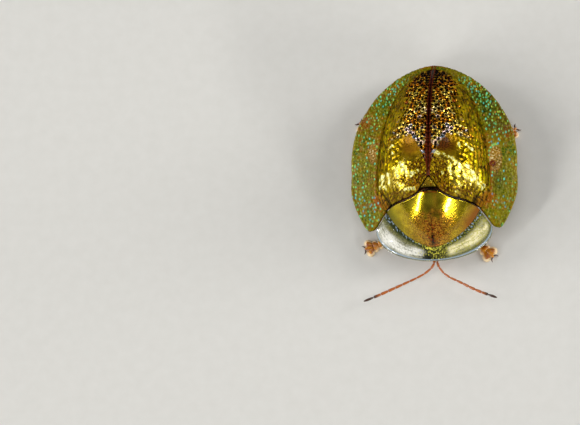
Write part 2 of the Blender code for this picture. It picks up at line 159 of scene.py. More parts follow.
# The domes of the two wing cases: hard cuticle over a layered film that shines like gold,
# set with rows of pits that grew in the skin, and brown where the blood shows through.
SHELL_HALF_WIDTH = 2.86
SHELL_FRONT = 3.69
SHELL_REAR = 3.46
REAR_POINTEDNESS = 0.26
POINTEDNESS_GROWS_OVER = 2.0
RIM_Z = 1.0
BRIM_RISE = 0.75
DISC_Y = -0.90
DISC_HALF_WIDTH = 1.96
DISC_FRONT = 1.6
DISC_REAR = 4.2
DISC_RISE = 1.30
DOME_FULLNESS = 2.3
DOME_EDGE = 0.75
DENT = (0.72, 0.14)
DENT_RADIUS = 0.34
DENT_DEPTH = 0.12
HUMP = (1.0, -0.72)
HUMP_RADIUS = 0.5
HUMP_RISE = 0.07
SEAM_LINE = (
    (0.0, -1.44), (0.30, -1.45), (0.55, -1.56), (0.82, -1.63), (1.20, -1.66),
    (1.55, -1.76), (1.75, -1.95), (1.94, -2.22), (2.16, -2.52),
)  # fmt: skip
SEAM_SAMPLES = 80
BOSS_Y = -1.35
BOSS_HALF_WIDTH = 1.75
BOSS_LENGTH = 1.72
BOSS_POWER = 1.6
BOSS_RISE = 1.15
BOSS_FULLNESS = 1.5
BOSS_EDGE = 0.9
SEAM_GAP = 0.035  # the dark line between shield and wing cases
SKIN_DROP = 0.035  # keeps the finest relief under the frame's own surface
DOME_ROWS = 290
DOME_COLUMNS = 118
COLUMN_CROWDING = 1.25  # brings the columns closer together towards the edge
DOME_WALL = 0.14
UNDER_DROP = 0.02  # keeps a wall where the skin is steep
SHARP_FROM = math.radians(50)  # the bend at which an edge is shaded as sharp
EDGE_ROLL = 0.04  # over which a free edge bends down
FRONT_FALL = 0.30  # over which the front edge comes down to the shield
SUTURE_GAP = 0.006
SUTURE_STRIP = 0.085
SCUTELLUM_HALF_WIDTH = 0.30
SCUTELLUM_LENGTH = 0.36
STRIAE = 15
PIT_STEP = 0.128
PIT_RADIUS = 0.049
PIT_DEPTH = 0.036
DARK_STATIONS = (-0.3, 0.44, 0.65, 1.1, 1.5, 2.1, 2.65, 3.3)
DARK_SHARES = (0.30, 0.74, 0.68, 0.61, 0.56, 0.66, 0.84, 0.9)
DARK_FRONT = (
    (0, -0.50), (0.12, -0.46), (0.23, -0.14), (0.34, 0.10),
    (0.48, 0.34), (0.62, 0.52), (0.95, 0.56), (1.25, 0.46), (1.96, 0.3),
)  # fmt: skip
GLINTS = {  # painted highlights: from, to and half width
    "left": (
        (0.18, -0.18, 0.45, -0.24, 0.068), (0.45, -0.24, 0.84, -0.40, 0.048),
        (0.84, -0.40, 1.13, -0.68, 0.061), (0.72, -0.56, 0.71, -0.84, 0.055),
        (0.71, -0.84, 0.97, -0.98, 0.075), (1.04, -0.56, 1.01, -0.84, 0.061),
        (1.29, -0.54, 1.44, -0.78, 0.096), (1.44, -0.78, 1.52, -0.99, 0.109),
        (1.16, -0.92, 1.37, -1.00, 0.082), (1.52, -0.99, 1.75, -1.14, 0.123),
        (0.99, -1.23, 1.09, -1.22, 0.055), (0.99, 0.19, 1.02, 0.08, 0.061),
        (1.21, 0.22, 1.46, 0.02, 0.055), (0.82, 0.64, 1.21, 0.52, 0.041),
        (0.45, -0.85, 0.48, -0.95, 0.048), (0.91, -1.46, 0.97, -1.48, 0.041),
    ),
    "right": (
        (0.95, -0.47, 0.80, -0.85, 0.102), (0.80, -0.85, 0.59, -0.94, 0.102),
        (0.59, -0.94, 0.38, -0.82, 0.075), (1.18, -0.59, 1.06, -0.93, 0.068),
        (1.46, -0.68, 1.38, -1.04, 0.055), (1.67, -0.73, 1.76, -1.03, 0.102),
        (1.76, -1.03, 1.55, -1.15, 0.068), (1.11, -1.15, 0.93, -1.25, 0.068),
        (0.87, -1.38, 0.50, -1.37, 0.055), (1.30, -0.01, 1.26, -0.05, 0.048),
        (1.43, 0.19, 1.27, 0.24, 0.048), (0.87, 0.67, 0.76, 0.72, 0.068),
        (0.54, 0.68, 0.50, 0.64, 0.061),
    ),
}  # fmt: skip
DENT_STAINS = {  # a side's sign, how brown and how tan its dent is, and the middle of the brown
    "left": (1, 1.0, 0.8, (0.48, 0.18)),
    "right": (-1, 0.55, 0.9, (0.60, 0.36)),
}
WORN = {  # where the skin is bare and brown in the bright band
    "left": ((0.42, -0.62), (0.36, -0.95), (1.20, -1.28)),
    "right": ((0.72, -1.10), (0.95, -1.05), (0.30, -1.00)),
}
CREST = ((0.0, -0.17), (0.35, -0.16), (0.7, -0.28), (1.0, -0.46), (1.3, -0.62), (1.96, -0.80))
CLOUD = 0.35
NOISE_LOW, NOISE_HIGH = 0.36, 0.64  # between which most of a noise's values lie
GRAIN = 0.03
GRAIN_DEPTH = 0.006
FLECK = 0.07


def smooth_step(t):
    t = np.clip(t, 0, 1)
    return t * t * (3 - 2 * t)


def peak(value, middle, width, power=2):
    """1 where a value is at the middle, fading over the width, and flatter with a higher power."""
    return np.exp(-(((value - middle) / width) ** power))


def side_power(y):
    return 2 - REAR_POINTEDNESS * smooth_step(y / POINTEDNESS_GROWS_OVER)


def length_share(y):
    return y / np.where(y < 0, SHELL_FRONT, SHELL_REAR)


def half_width(y):
    """Half the shell's width at a station."""
    left_over = np.clip(1 - length_share(y) ** 2, 0, 1)
    return SHELL_HALF_WIDTH * left_over ** (1 / side_power(y))


def brim_height(x, y):
    """The low cap that the clear brim belongs to."""
    across = (np.abs(x) / SHELL_HALF_WIDTH) ** side_power(y)
    return RIM_Z + BRIM_RISE * (1 - np.clip(across + length_share(y) ** 2, 0, 1))


def bell(x, y, middle, radius):
    """1 at a spot on each side, fading over its radius."""
    away = (np.abs(x) - middle[0]) ** 2 + (y - middle[1]) ** 2
    return np.exp(-away / radius**2)


def wing_case_height(x, y):
    along = (y - DISC_Y) / np.where(y < DISC_Y, DISC_FRONT, DISC_REAR)
    share = np.hypot(along, x / DISC_HALF_WIDTH)
    dome = DISC_RISE * np.clip(1 - share**DOME_FULLNESS, 0, 1) ** DOME_EDGE
    dents = HUMP_RISE * bell(x, y, HUMP, HUMP_RADIUS) - DENT_DEPTH * bell(x, y, DENT, DENT_RADIUS)
    return brim_height(x, y) + dome + dents - SKIN_DROP


def shield_height(x, y):
    across = (np.abs(x) / BOSS_HALF_WIDTH) ** BOSS_POWER
    along = (np.abs(y - BOSS_Y) / BOSS_LENGTH) ** BOSS_POWER
    share = (across + along) ** (1 / BOSS_POWER)
    boss = BOSS_RISE * np.clip(1 - share**BOSS_FULLNESS, 0, 1) ** BOSS_EDGE
    return brim_height(x, y) + boss - SKIN_DROP


def smooth_line(points, count):
    """A curve through the points with smooth bends, evenly sampled from each point to the next."""
    knots = np.array([2 * points[0] - points[1], *points, 2 * points[-1] - points[-2]])
    at = np.linspace(0, len(points) - 1, count)
    span = np.minimum(at.astype(int), len(points) - 2)
    t = (at - span)[:, None]
    before, start, end, after = (knots[span + k] for k in range(4))
    bend = 2 * before - 5 * start + 4 * end - after
    twist = 3 * start - before - 3 * end + after
    return start + 0.5 * ((end - before) * t + bend * t**2 + twist * t**3)


def lengths(line):
    """How far along a line each of its points is."""
    return np.concatenate([[0], np.cumsum(np.linalg.norm(np.diff(line, axis=0), axis=1))])


def resampled(line, shares):
    """Points at the given shares of a line's length."""
    along = lengths(line)
    return np.stack([np.interp(shares, along / along[-1], part) for part in line.T], axis=1)


def seam(moved):
    """Left half of the seam's line in plan, moved towards the rear, from the middle outwards."""
    half = np.array(SEAM_LINE)
    both = np.concatenate([half[:0:-1] * (-1, 1), half])
    line = smooth_line(both, 2 * SEAM_SAMPLES + 1)
    tangent = np.gradient(line, axis=0)
    normal = np.stack([-tangent[:, 1], tangent[:, 0]], axis=1)
    normal /= np.linalg.norm(normal, axis=1)[:, None]
    return (line + moved * normal)[SEAM_SAMPLES:]


def ripples(x, y, wave, seed, count=28):
    """Smooth random relief with waves of about that length, and a spread of about 1."""
    draw = np.random.default_rng(seed)
    total = np.zeros_like(x)
    for heading, length, phase in zip(
        draw.uniform(0, math.pi, count), draw.uniform(0.7, 1.5, count), draw.uniform(0, 2 * math.pi, count)
    ):
        reach = 2 * math.pi / (wave * length)
        total += np.cos(reach * (x * math.cos(heading) + y * math.sin(heading)) + phase)
    return total * math.sqrt(2 / count)


def outward(points):
    """The upward normals of a grid of points."""
    normal = np.cross(np.gradient(points, axis=1), np.gradient(points, axis=0))
    normal /= np.maximum(np.linalg.norm(normal, axis=2), 1e-9)[..., None]
    return normal * np.where(normal[..., 2:] < 0, -1, 1)


def nearest(spots, points):
    """How far each grid point is from the nearest spot, and which spot that is."""
    tree = KDTree(len(spots))
    for number, spot in enumerate(spots):
        tree.insert(spot, number)
    tree.balance()
    found = [tree.find(point) for point in points.reshape(-1, 3)]
    away = np.array([hit[2] for hit in found]).reshape(points.shape[:2])
    which = np.array([hit[1] for hit in found]).reshape(points.shape[:2])
    return away, which


def sheet_of(points):
    """A grid primitive with its vertices moved to the points, and each vertex's row and column."""
    rows, columns = points.shape[:2]
    bpy.ops.object.select_all(action="DESELECT")
    bpy.ops.mesh.primitive_grid_add(x_subdivisions=columns - 1, y_subdivisions=rows - 1, size=1)
    sheet = bpy.context.object
    flat = np.empty(3 * rows * columns)
    sheet.data.vertices.foreach_get("co", flat)
    flat = flat.reshape(-1, 3) + 0.5
    row = np.rint(flat[:, 1] * (rows - 1)).astype(int)
    column = np.rint(flat[:, 0] * (columns - 1)).astype(int)
    sheet.data.vertices.foreach_set("co", points[row, column].ravel())
    return sheet, (row, column)


def plate_of(points, under, paint):
    """A closed plate: the sheet is extruded, and its lower face is laid on the points under it."""
    sheet, place = sheet_of(points)
    mesh = sheet.data
    for name, values in paint.items():
        layer = mesh.attributes.new(name, "FLOAT", "POINT")
        values = np.broadcast_to(values, points.shape[:2])
        layer.data.foreach_set("value", values[place].astype(float))
    bpy.ops.object.mode_set(mode="EDIT")
    bpy.ops.mesh.select_all(action="SELECT")
    bpy.ops.mesh.extrude_region_move(TRANSFORM_OT_translate={"value": (0, 0, -1)})
    bpy.ops.object.mode_set(mode="OBJECT")
    places = np.empty(3 * len(mesh.vertices))
    mesh.vertices.foreach_get("co", places)
    places = places.reshape(-1, 3)
    places[[vert.select for vert in mesh.vertices]] = under[place]
    mesh.vertices.foreach_set("co", places.ravel())
    return sheet


def welded(piece, distance=0.0005):
    """Merges doubled points and turns every face outwards."""
    bpy.context.view_layer.objects.active = piece
    bpy.ops.object.mode_set(mode="EDIT")
    bpy.ops.mesh.select_all(action="SELECT")
    bpy.ops.mesh.remove_doubles(threshold=distance)
    bpy.ops.mesh.dissolve_degenerate(threshold=distance / 10)
    bpy.ops.mesh.select_all(action="SELECT")
    bpy.ops.mesh.normals_make_consistent(inside=False)
    bpy.ops.object.mode_set(mode="OBJECT")
    return piece


def handed_in(piece, name, finish, slot, *nodes):
    """Scales a finished piece to metres over its place, and says what it is to the frame."""
    piece.name = piece.data.name = name
    place = Matrix.Translation((0, BODY_Y * MM, 0)) @ Matrix.Scale(MM, 4)
    piece.data.transform(place @ piece.matrix_world)
    piece.matrix_world = Matrix()
    piece.data.materials.clear()
    piece.data.materials.append(finish)
    bpy.ops.object.select_all(action="DESELECT")
    piece.select_set(True)
    bpy.context.view_layer.objects.active = piece
    bpy.ops.object.shade_smooth_by_angle(angle=SHARP_FROM)
    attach(piece, "root")
    if nodes:
        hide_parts(*nodes)


def stroke(x, y, line):
    """How far from the middle line of a stroke each point lies, as a share of the stroke's half width."""
    from_x, from_y, to_x, to_y, wide = line
    along_x, along_y = to_x - from_x, to_y - from_y
    share = ((x - from_x) * along_x + (y - from_y) * along_y) / (along_x**2 + along_y**2)
    share = np.clip(share, 0, 1)
    return np.hypot(x - from_x - share * along_x, y - from_y - share * along_y) / wide


def ruled(inner, outer, shares):
    """A grid of plan points between two lines, with its columns at the given shares of the way."""
    return inner[:, None] + (outer - inner)[:, None] * shares[None, :, None]


def bent_to(plan, first_row, shares, power):
    """Moves a grid's first row on to a line, and the rows after it less and less."""
    fading = (1 - np.linspace(0, 1, len(plan))) ** power
    bend = resampled(first_row, shares) - plan[0]
    return plan + fading[:, None, None] * bend[None]


def dome_plan():
    """Plan grid of the left dome: rows from the seam to the tip, columns from the suture outwards."""
    v = np.linspace(0, 1, DOME_ROWS)
    u = 1 - (1 - np.linspace(0, 1, DOME_COLUMNS)) ** COLUMN_CROWDING
    tip_y = SEAM_LINE[0][1] + SCUTELLUM_LENGTH + 0.1
    front = seam(SEAM_GAP / 2)
    front = front[(front[:, 0] > SCUTELLUM_HALF_WIDTH + SEAM_GAP) & (front[:, 0] < 1.60)]
    start = math.asin((front[-1, 1] - DISC_Y) / DISC_FRONT)
    turn = start + (math.pi / 2 - start) * v
    outer_y = DISC_Y + np.sin(turn) * np.where(turn < 0, DISC_FRONT, DISC_REAR)
    outer_x = np.maximum(DISC_HALF_WIDTH * np.cos(turn), SUTURE_GAP)
    inner = np.stack([np.full(DOME_ROWS, SUTURE_GAP), tip_y + (outer_y[-1] - tip_y) * v**1.1], axis=1)
    outer = np.stack([outer_x, outer_y], axis=1)
    front = np.concatenate([inner[:1], front, outer[:1]])
    return bent_to(ruled(inner, outer, u), front, u, 3)


def on_surface(plan, height):
    return np.concatenate([plan, height(plan[..., 0], plan[..., 1])[..., None]], axis=2)


def column_lengths(points):
    """How far each point of a grid is from its first row."""
    steps = np.linalg.norm(np.diff(points, axis=0), axis=2)
    return np.concatenate([np.zeros((1, points.shape[1])), np.cumsum(steps, axis=0)])


def pit_rows(points, count, step, draw, first=0.55, stray=0.025):
    """Spots in lengthwise rows over a grid of points, a step apart, a little out of line."""
    columns = points.shape[1] - 1
    spots = []
    for number in range(count):
        at = (number + first) / count * columns
        low = min(int(at), columns - 1)
        line = points[:, low] + (points[:, low + 1] - points[:, low]) * (at - low)
        total = lengths(line)[-1]
        shares = np.arange(draw.uniform(0.3, 1) * step, total, step) / total
        shares += draw.normal(0, 0.2 * step / total, len(shares))
        spots.append(resampled(line, np.clip(shares, 0, 1)))
    spots = np.concatenate(spots)
    spots[:, 0] += draw.normal(0, stray, len(spots))
    return spots


# Hard cuticle over layers of moist film: it mirrors like polished gold, and where the film is bare
# it is plain brown or amber skin. Pale yellow highlights, not metallic, are painted on where it shines.
# The real grain is finer than the eye can tell, so it is drawn coarser.
gold_cuticle, shader, place = new_material("golden_wing_case_cuticle")
masks = {
    name: add_node(gold_cuticle, "Attribute", {}, out="Fac", attribute_name=name)
    for name in ("pit", "dark", "band", "flank", "tint", "rim", "brown", "amber", "suture", "glint")
}
drawn_out = add_node(gold_cuticle, "Mapping", {"Vector": place, "Scale": (1, 0.3, 1)})
noises, patterns = {}, {}
for name, ways, wave, detail, low, high in (
    ("clouded", place, CLOUD, 4, NOISE_LOW, NOISE_HIGH),
    ("grained", place, GRAIN, 2, NOISE_LOW, NOISE_HIGH),
    ("flecked", drawn_out, FLECK, 3, 0.48, 0.66),
):
    noises[name] = add_node(
        gold_cuticle, "TexNoise", {"Vector": ways, "Scale": 1 / (wave * MM), "Detail": detail}
    )
    patterns[name] = add_node(
        gold_cuticle, "MapRange", {"Value": noises[name], "From Min": low, "From Max": high}
    )
bump = add_node(
    gold_cuticle, "Bump", {"Height": noises["grained"], "Strength": 0.35, "Distance": GRAIN_DEPTH * MM}
)
# Every coat mixes two colours or coats by a mask or a pattern, and the last one called over shows.
coats = {
    "painted glint": add_node(
        gold_cuticle, "ValToRGB", {"Fac": masks["glint"]},
        stops=("#a88400", "#e0b400", "#ffe010", "#fff23c", "#fffcb4"),
    ),
    "ridge": add_node(
        gold_cuticle, "ValToRGB", {"Fac": masks["tint"]},
        stops=("#8c2c08", "#dc9018", "#e8d058", "#e4b8ac", "#90b0c4"),
    ),
}
for name, share, below, above in (
    ("olive", patterns["clouded"], "#745c04", "#ccac0e"),
    ("bright", patterns["grained"], "#c49a20", "#fff078"),
    ("side", patterns["clouded"], "#544a02", "#c8b80a"),
    ("side", patterns["flecked"], "side", "#d09420"),
    ("over", masks["flank"], "olive", "side"),
    ("over", masks["band"], "over", "bright"),
    ("over", masks["brown"], "over", "#481404"),
    ("over", masks["amber"], "over", "#8a520a"),
    ("over", masks["glint"], "over", "painted glint"),
    ("over", masks["dark"], "over", "ridge"),
    ("over", masks["pit"], "over", "#0a0302"),
    ("over", masks["suture"], "over", "#6c2810"),
    ("over", masks["rim"], "over", "#0c0301"),
):
    mix = {"Factor": share, 6: coats.get(below, below), 7: coats.get(above, above)}
    coats[name] = add_node(gold_cuticle, "Mix", mix, out=2, data_type="RGBA")
# Bare skin is duller than the film, and neither it nor the painted highlights are metallic.
sums = {}
for name, first, second, how in (
    ("bare", masks["brown"], masks["amber"], "MAXIMUM"),
    ("matt", "bare", 2.2, "MULTIPLY"),
    ("dull", masks["flank"], masks["suture"], "MAXIMUM"),
    ("dull", "dull", "matt", "MAXIMUM"),
    ("bare skin and painted glint", "bare", masks["glint"], "MAXIMUM"),
):
    both = {0: sums.get(first, first), 1: sums.get(second, second)}
    sums[name] = add_node(gold_cuticle, "Math", both, operation=how)
roughness = add_node(
    gold_cuticle, "MapRange", {"Value": sums["dull"], "To Min": 0.18, "To Max": 0.34}, clamp=False
)
metallic = add_node(
    gold_cuticle, "MapRange", {"Value": sums["bare skin and painted glint"], "To Min": 0.94, "To Max": 0.2}
)
set_inputs(gold_cuticle, shader, {
    "Base Color": coats["over"], "Metallic": metallic, "Roughness": roughness, "Normal": bump,
    "Specular Tint": "#b8b040", "Specular IOR Level": 0.25, "Coat Weight": 0.05, "Coat Roughness": 0.06,
})

plan = dome_plan()
skin = on_surface(plan, wing_case_height)
x, y = plan[..., 0], plan[..., 1]
evenly = np.linspace(0, 1, DOME_COLUMNS)[None]
u = 1 - (1 - evenly) ** COLUMN_CROWDING
# The pits sink in lengthwise rows, each a little out of line.
draw = np.random.default_rng(7)
spots = pit_rows(skin, STRIAE, PIT_STEP, draw, stray=0.030)
away, which = nearest(spots, skin)
pit = peak(away, 0, PIT_RADIUS)
# The dark zone that the pits lie in has its own outer edge and its own front.
edge_share = np.interp(y, DARK_STATIONS, DARK_SHARES)
dark_front = np.interp(x, *np.array(DARK_FRONT).T)
dark = smooth_step((edge_share - u + 0.05 * ripples(x, y, 0.3, 3)) / 0.1 + 0.5)
dark *= smooth_step((y - dark_front + 0.03 * ripples(x, y, 0.2, 4)) / 0.1 + 0.5)
# A groove runs round the dome's foot, with an amber line outside it at the front.
front_share = np.hypot((y - DISC_Y) / DISC_FRONT, x / DISC_HALF_WIDTH)
ahead = smooth_step((-1.0 - y) / 0.5)
side_share = np.where(y < DISC_Y, front_share, u)
contour = 0.975 - 0.105 * ahead
groove = peak(side_share, contour, 0.014 + 0.012 * ahead) * (y < 2.6)
amber = smooth_step((side_share - contour - 0.015) / 0.02) * smooth_step(2 * ahead)
# Ahead of the crest lies the bright band, and a narrow lip like it along the dark zone's front.
crest = np.interp(x, *np.array(CREST).T)
band = smooth_step((crest - y + 0.04 * ripples(x, y, 0.3, 5)) / 0.14 + 0.6)
band *= smooth_step((0.90 - side_share) / 0.1)
lip = peak(y - dark_front, -0.05, 0.035) * smooth_step((x - 0.80) / 0.15)
lip *= smooth_step((1.30 - x) / 0.15) * smooth_step(0.7 * ripples(x, y, 0.25, 16))
# The film lies in clusters along the band's arc, and the skin is bare between them.
arc = smooth_step((x - 0.55 + 0.5 * smooth_step((y + 0.62) / 0.3)) / 0.35)
clusters = smooth_step(0.5 + 0.5 * ripples(x, 0.5 * y, 0.34, 8))
bare = band * (1 - arc)
band = np.maximum(band * arc * (0.35 + 0.65 * clusters), 0.6 * lip)
flank = smooth_step((u - 0.58) / 0.3) * (1 - band) * (1 - dark)
plain = bell(x, y, (0.56, 0.14), 0.48)
sparkling = smooth_step(1 - np.abs(np.hypot(x - 1.15, y + 0.02) / 0.42)) * (1 - dark)
# The front edge comes down to the shield and rolls under, but not beside the scutellum.
from_seam = column_lengths(skin)
beyond_scutellum = smooth_step((x[:1] - SCUTELLUM_HALF_WIDTH - 0.03) / 0.15)
step_down = wing_case_height(x[:1], y[:1]) - shield_height(x[:1], y[:1])
fall = beyond_scutellum * step_down * np.clip(1 - from_seam / FRONT_FALL, 0, 1) ** 2
roll = np.clip(1 - from_seam / EDGE_ROLL, 0, 1) ** 2 * (x > SCUTELLUM_HALF_WIDTH)
# A smooth brown strip runs along the suture and falls to it.
strip = 1 + 0.6 * peak(y, -0.15, 0.5) - 0.3 * smooth_step((-0.5 - y) / 0.3)
beside_suture = np.clip(1 - (x - SUTURE_GAP) / (SUTURE_STRIP * strip), 0, 1)
# Fine grooves follow the rows of pits.
row_place = evenly * STRIAE - 0.05
stria = peak(row_place % 1, 0.5, 0.13) * (0.6 + 0.4 * ripples(x, 0.2 * y, 0.12, 6))
# How far the skin is sunk at each place: pits first, then dents, wrinkles, lip, groove and edges.
sunk = PIT_DEPTH * pit * (0.25 + 0.75 * dark) * (1 - 0.75 * band) * (1 - 0.9 * plain * (1 - dark))
sunk += 0.010 * sparkling * ripples(x, y, 0.16, 10)
sunk += 0.014 * band * ripples(x, 0.35 * y, 0.26, 11) + 0.016 * band * ripples(x, 0.7 * y, 0.55, 15)
sunk += 0.0012 * band * ripples(x, y, 0.1, 12) + 0.004 * bare * ripples(x, y, 0.12, 9)
sunk += (0.004 * (1 - plain) * ripples(x, y, 0.16, 13) + 0.014 * stria * flank) * (1 - dark)
sunk += 0.008 * dark * ripples(x, y, 0.09, 14) - 0.015 * lip + 0.02 * groove
sunk = sunk * (1 - beside_suture) + 0.03 * roll + 0.02 * beside_suture**2
# Lines, stains and wrinkles that are more colour than shape; the dark line at the join is painted shade.
suture = smooth_step(beside_suture * 2.5)
tip = smooth_step((y - 2.75) / 0.2) * smooth_step(beside_suture * 2 - 0.8)
# Beside the suture the ridges are tinted pale blue, a painted bluish reflection.
cool = bell(x, y, (0.22, -0.30), 0.22)
wrinkles = smooth_step(2 * ripples(x, 0.4 * y, 0.09, 30) - 1.2) * flank
deep = smooth_step((pit - 0.2) / 0.25)
to_front = smooth_step((1.9 - y) / 1.4)
join = 0.75 * peak(x, SUTURE_GAP, 0.02)
# The ridge round each pit has a tint of its own.
chance = draw.uniform(0, 1, len(spots))[which]
# The rim mask is painted shade, near black, on the rolled edge at the seam and at the join of the two
# cases; it also darkens the groove round the dome's foot and the suture strip.
paint = {
    "pit": deep * np.clip(dark + 0.5 * (1 - dark) * (1 - 0.5 * band) * (1 - plain), 0, 1)
    + np.clip(0.75 * np.clip(stria, 0, 1) * flank + 0.8 * wrinkles, 0, 1) * (1 - deep),
    "dark": dark,
    "band": band,
    "flank": flank,
    "tint": np.clip(
        ((0.55 + 0.38 * to_front) * chance + 0.06 * to_front) * (1 - cool) + cool * (chance > 0.5), 0, 1
    ),
    "rim": np.clip(2.5 * roll + (0.2 + 0.6 * ahead) * groove + 0.2 * suture * (1 - tip) + join, 0, 1),
    "amber": np.maximum(0.85 * amber, 0.8 * tip * suture),
    "suture": suture * (1 - tip),
}
# A thin painted shade also runs along the edge beside the scutellum.
beside_scutellum = peak(from_seam, 0, 0.028) * (x <= SCUTELLUM_HALF_WIDTH + 0.04)
paint["rim"] = np.maximum(paint["rim"], 0.95 * beside_scutellum)
carved = skin - outward(skin) * sunk[..., None]
carved[..., 2] -= fall
under = carved - outward(skin) * DOME_WALL - np.array([0, 0, UNDER_DROP])
# Specks and grit break up the film's edges; crumbs are small painted highlights, and fissures split the
# painted highlights.
ahead_of_seam = smooth_step((0.5 - from_seam) / 0.25) * (x > SCUTELLUM_HALF_WIDTH) * (1 - amber)
gritty = np.clip(0.5 + 0.6 * ripples(x, y, 0.09, 21), 0, 1.3)
bare_brown = np.clip(0.22 * bare + 0.42 * ahead_of_seam, 0, 1) * gritty
bare_amber = np.clip(0.50 * bare + 0.30 * ahead_of_seam, 0, 1) * np.clip(1.2 - gritty, 0, 1)
fissures = 1 - 0.85 * peak(ripples(x, 0.45 * y, 0.15, 24), 0, 0.26)
speckled = np.clip(bare + 0.9 * ahead_of_seam + 0.5 * smooth_step((crest - y) / 0.15), 0, 1)
highlight_specks = smooth_step(2 * ripples(x, 0.6 * y, 0.08, 25) - 2.0) * speckled
freckles = smooth_step(2 * ripples(x, 0.8 * y, 0.085, 27) - 1.3) * speckled
rusty = smooth_step(2 * ripples(x, y, 0.11, 28) - 1.2) * speckled
ragged = 0.30 * ripples(x, 0.6 * y, 0.13, 26)
full_band = paint["band"]
front_border = dark * peak(y - dark_front, 0.02, 0.10) * smooth_step((0.75 - x) / 0.15)
mottled = smooth_step(1.5 * ripples(x, y, 0.07, 32))
sooty = dark * smooth_step(2 * ripples(x, y, 0.09, 33) - 0.3) * smooth_step((1.3 - y) / 0.6) * (1 - cool)
smooth_pit = paint["pit"]
smooth_amber = paint["amber"]
# The two sides have their own glints and stains, as the picture shows them.
for side_name, (side, stain, tan, middle) in DENT_STAINS.items():
    across = np.array([side, 1, 1])
    stained = np.clip(1.7 * stain * bell(x, y, middle, 0.30) * (0.8 + 0.4 * gritty), 0, stain)
    stained *= 1 - 0.5 * dark
    worn = sum(bell(x, y, spot, 0.2) for spot in WORN[side_name])
    paint["brown"] = np.clip(stained + bare_brown + 0.5 * rusty + 0.6 * gritty * worn, 0, 1)
    dent = np.clip(1.4 * tan * bell(x, y, (0.56, 0.16), 0.42), 0, tan) * (1 - dark) * (1 - 0.8 * stained)
    paint["amber"] = np.clip(np.maximum(smooth_amber, dent + bare_amber), 0, 1)
    # Painted highlights lie along each side's strokes, and the gold band is kept near them.
    share = np.min([stroke(x, y, line) for line in GLINTS[side_name]], axis=0)
    glint = smooth_step((1.35 + ragged - share) / 0.8) * fissures
    near_glints = 0.15 + 0.85 * smooth_step((2.6 + 2 * ragged - share) / 1.3)
    paint["band"] = full_band * near_glints * (1 - 0.7 * worn)
    paint["glint"] = np.clip(np.maximum(glint, 0.65 * highlight_specks) * (1 - paint["rim"]), 0, 1)
    paint["pit"] = np.clip(smooth_pit + 0.75 * freckles * (1 - glint) * (1 - dark), 0, 1)
    paint["pit"] = np.maximum(paint["pit"], 0.75 * stained * mottled * (1 - dark))
    paint["pit"] = np.maximum(paint["pit"], np.maximum(0.85 * sooty, 0.68 * front_border))
    dome = welded(plate_of(carved * across, under * across, paint))
    handed_in(dome, f"wing_case_dome_{side_name}", gold_cuticle, "gold_shell", f"elytron_{side_name}")

# The clear brims of the wing cases: the same cuticle where it runs out thin and flat past the dome.
# It is see-through and olive, amber near the shoulders, and netted with cells that glint blue-green.
BRIM_ALONG = 400
BRIM_ACROSS = 64
BRIM_TUCK = 0.05  # how far it runs in under the dome's edge
BRIM_EDGE_WALL = 0.05
BRIM_WALL = 0.12
BRIM_EXTRA_WALL = 0.03  # makes up for the relief that is sunk into it
LOBE = 0.34  # from where the front corner is rounded off
BRIM_FULLNESS = 0.11  # how far its front half stands out past an ellipse
CELL_ROWS = 9
CELL_STEP = 0.14
CELL_RADIUS = 0.031
CELL_DEPTH = 0.018
CELL_SHAPE = (1, 0.65, 1)  # drawn out lengthwise
NET = 0.11
BRIM_CLOUD = 0.6
CUTICLE_IOR = 1.56
SHOULDER = (1.85, -1.35)
SHADE_PATCH = (2.22, -0.80)
KNEES = {  # where the middle legs show through: place, and half width and length
    "left": ((2.14, -0.01), (0.23, 0.50)),
    "right": ((2.09, 0.31), (0.17, 0.38)),
}
FEET = {"left": (2.55, 1.02), "right": (2.44, 1.45)}  # where the middle feet do
PEARLS = {  # in degrees round a knee
    "left": (85, 100, 116, 132, 150, 170, 190),
    "right": (70, 105, 150, 185),
}
LIT_CELLS = {  # a side's sign, its shade, and the share of its cells that are lit in front, beside, behind
    "left": (1, 0.9, (0.34, 0.24, 0.62)),
    "right": (-1, 0.25, (0.70, 0.42, 0.50)),
}
PEARL_RADIUS = 0.04


def brim_plan():
    """Plan grid of the left brim: rows along the rim from the shoulder to the tip, columns outwards."""
    seam_line = seam(SEAM_GAP / 2)
    corner = seam_line[-1]
    start = math.asin((seam_line[seam_line[:, 0] < 1.60][-1, 1] - DISC_Y) / DISC_FRONT)
    turn = np.linspace(start, math.pi / 2, 400)
    inner_x = (DISC_HALF_WIDTH - BRIM_TUCK) * np.cos(turn)
    inner_y = DISC_Y + np.sin(turn) * (np.where(turn < 0, DISC_FRONT, DISC_REAR) - BRIM_TUCK)
    inner = np.stack([np.maximum(inner_x, SUTURE_GAP), inner_y], axis=1)
    start = math.asin(corner[1] / SHELL_FRONT)
    turn = np.linspace(start, math.pi / 2, 400)
    outer_y = np.sin(turn) * np.where(turn < 0, SHELL_FRONT, SHELL_REAR)
    outer_x = half_width(outer_y) + BRIM_FULLNESS * smooth_step((-0.3 - outer_y) / 0.9)
    outer_x += (corner[0] - outer_x[0]) * np.linspace(1, 0, 400) ** 8
    outer = np.stack([np.maximum(outer_x, SUTURE_GAP), outer_y], axis=1)
    shares = np.linspace(0, 1, BRIM_ALONG)
    outer = outer[lengths(outer) > LOBE]
    front = seam_line[seam_line[:, 0] > inner[0, 0]]
    front = front[lengths(front)[-1] - lengths(front) > LOBE]
    t = np.linspace(0, 1, 30)[1:, None]
    lobe = (1 - t) ** 2 * front[-1] + 2 * t * (1 - t) * corner + t**2 * outer[0]
    across = np.linspace(0, 1, BRIM_ACROSS)
    plan = ruled(resampled(inner, shares), resampled(outer, shares), across)
    return bent_to(plan, np.concatenate([inner[:1], front, lobe]), across, 4)
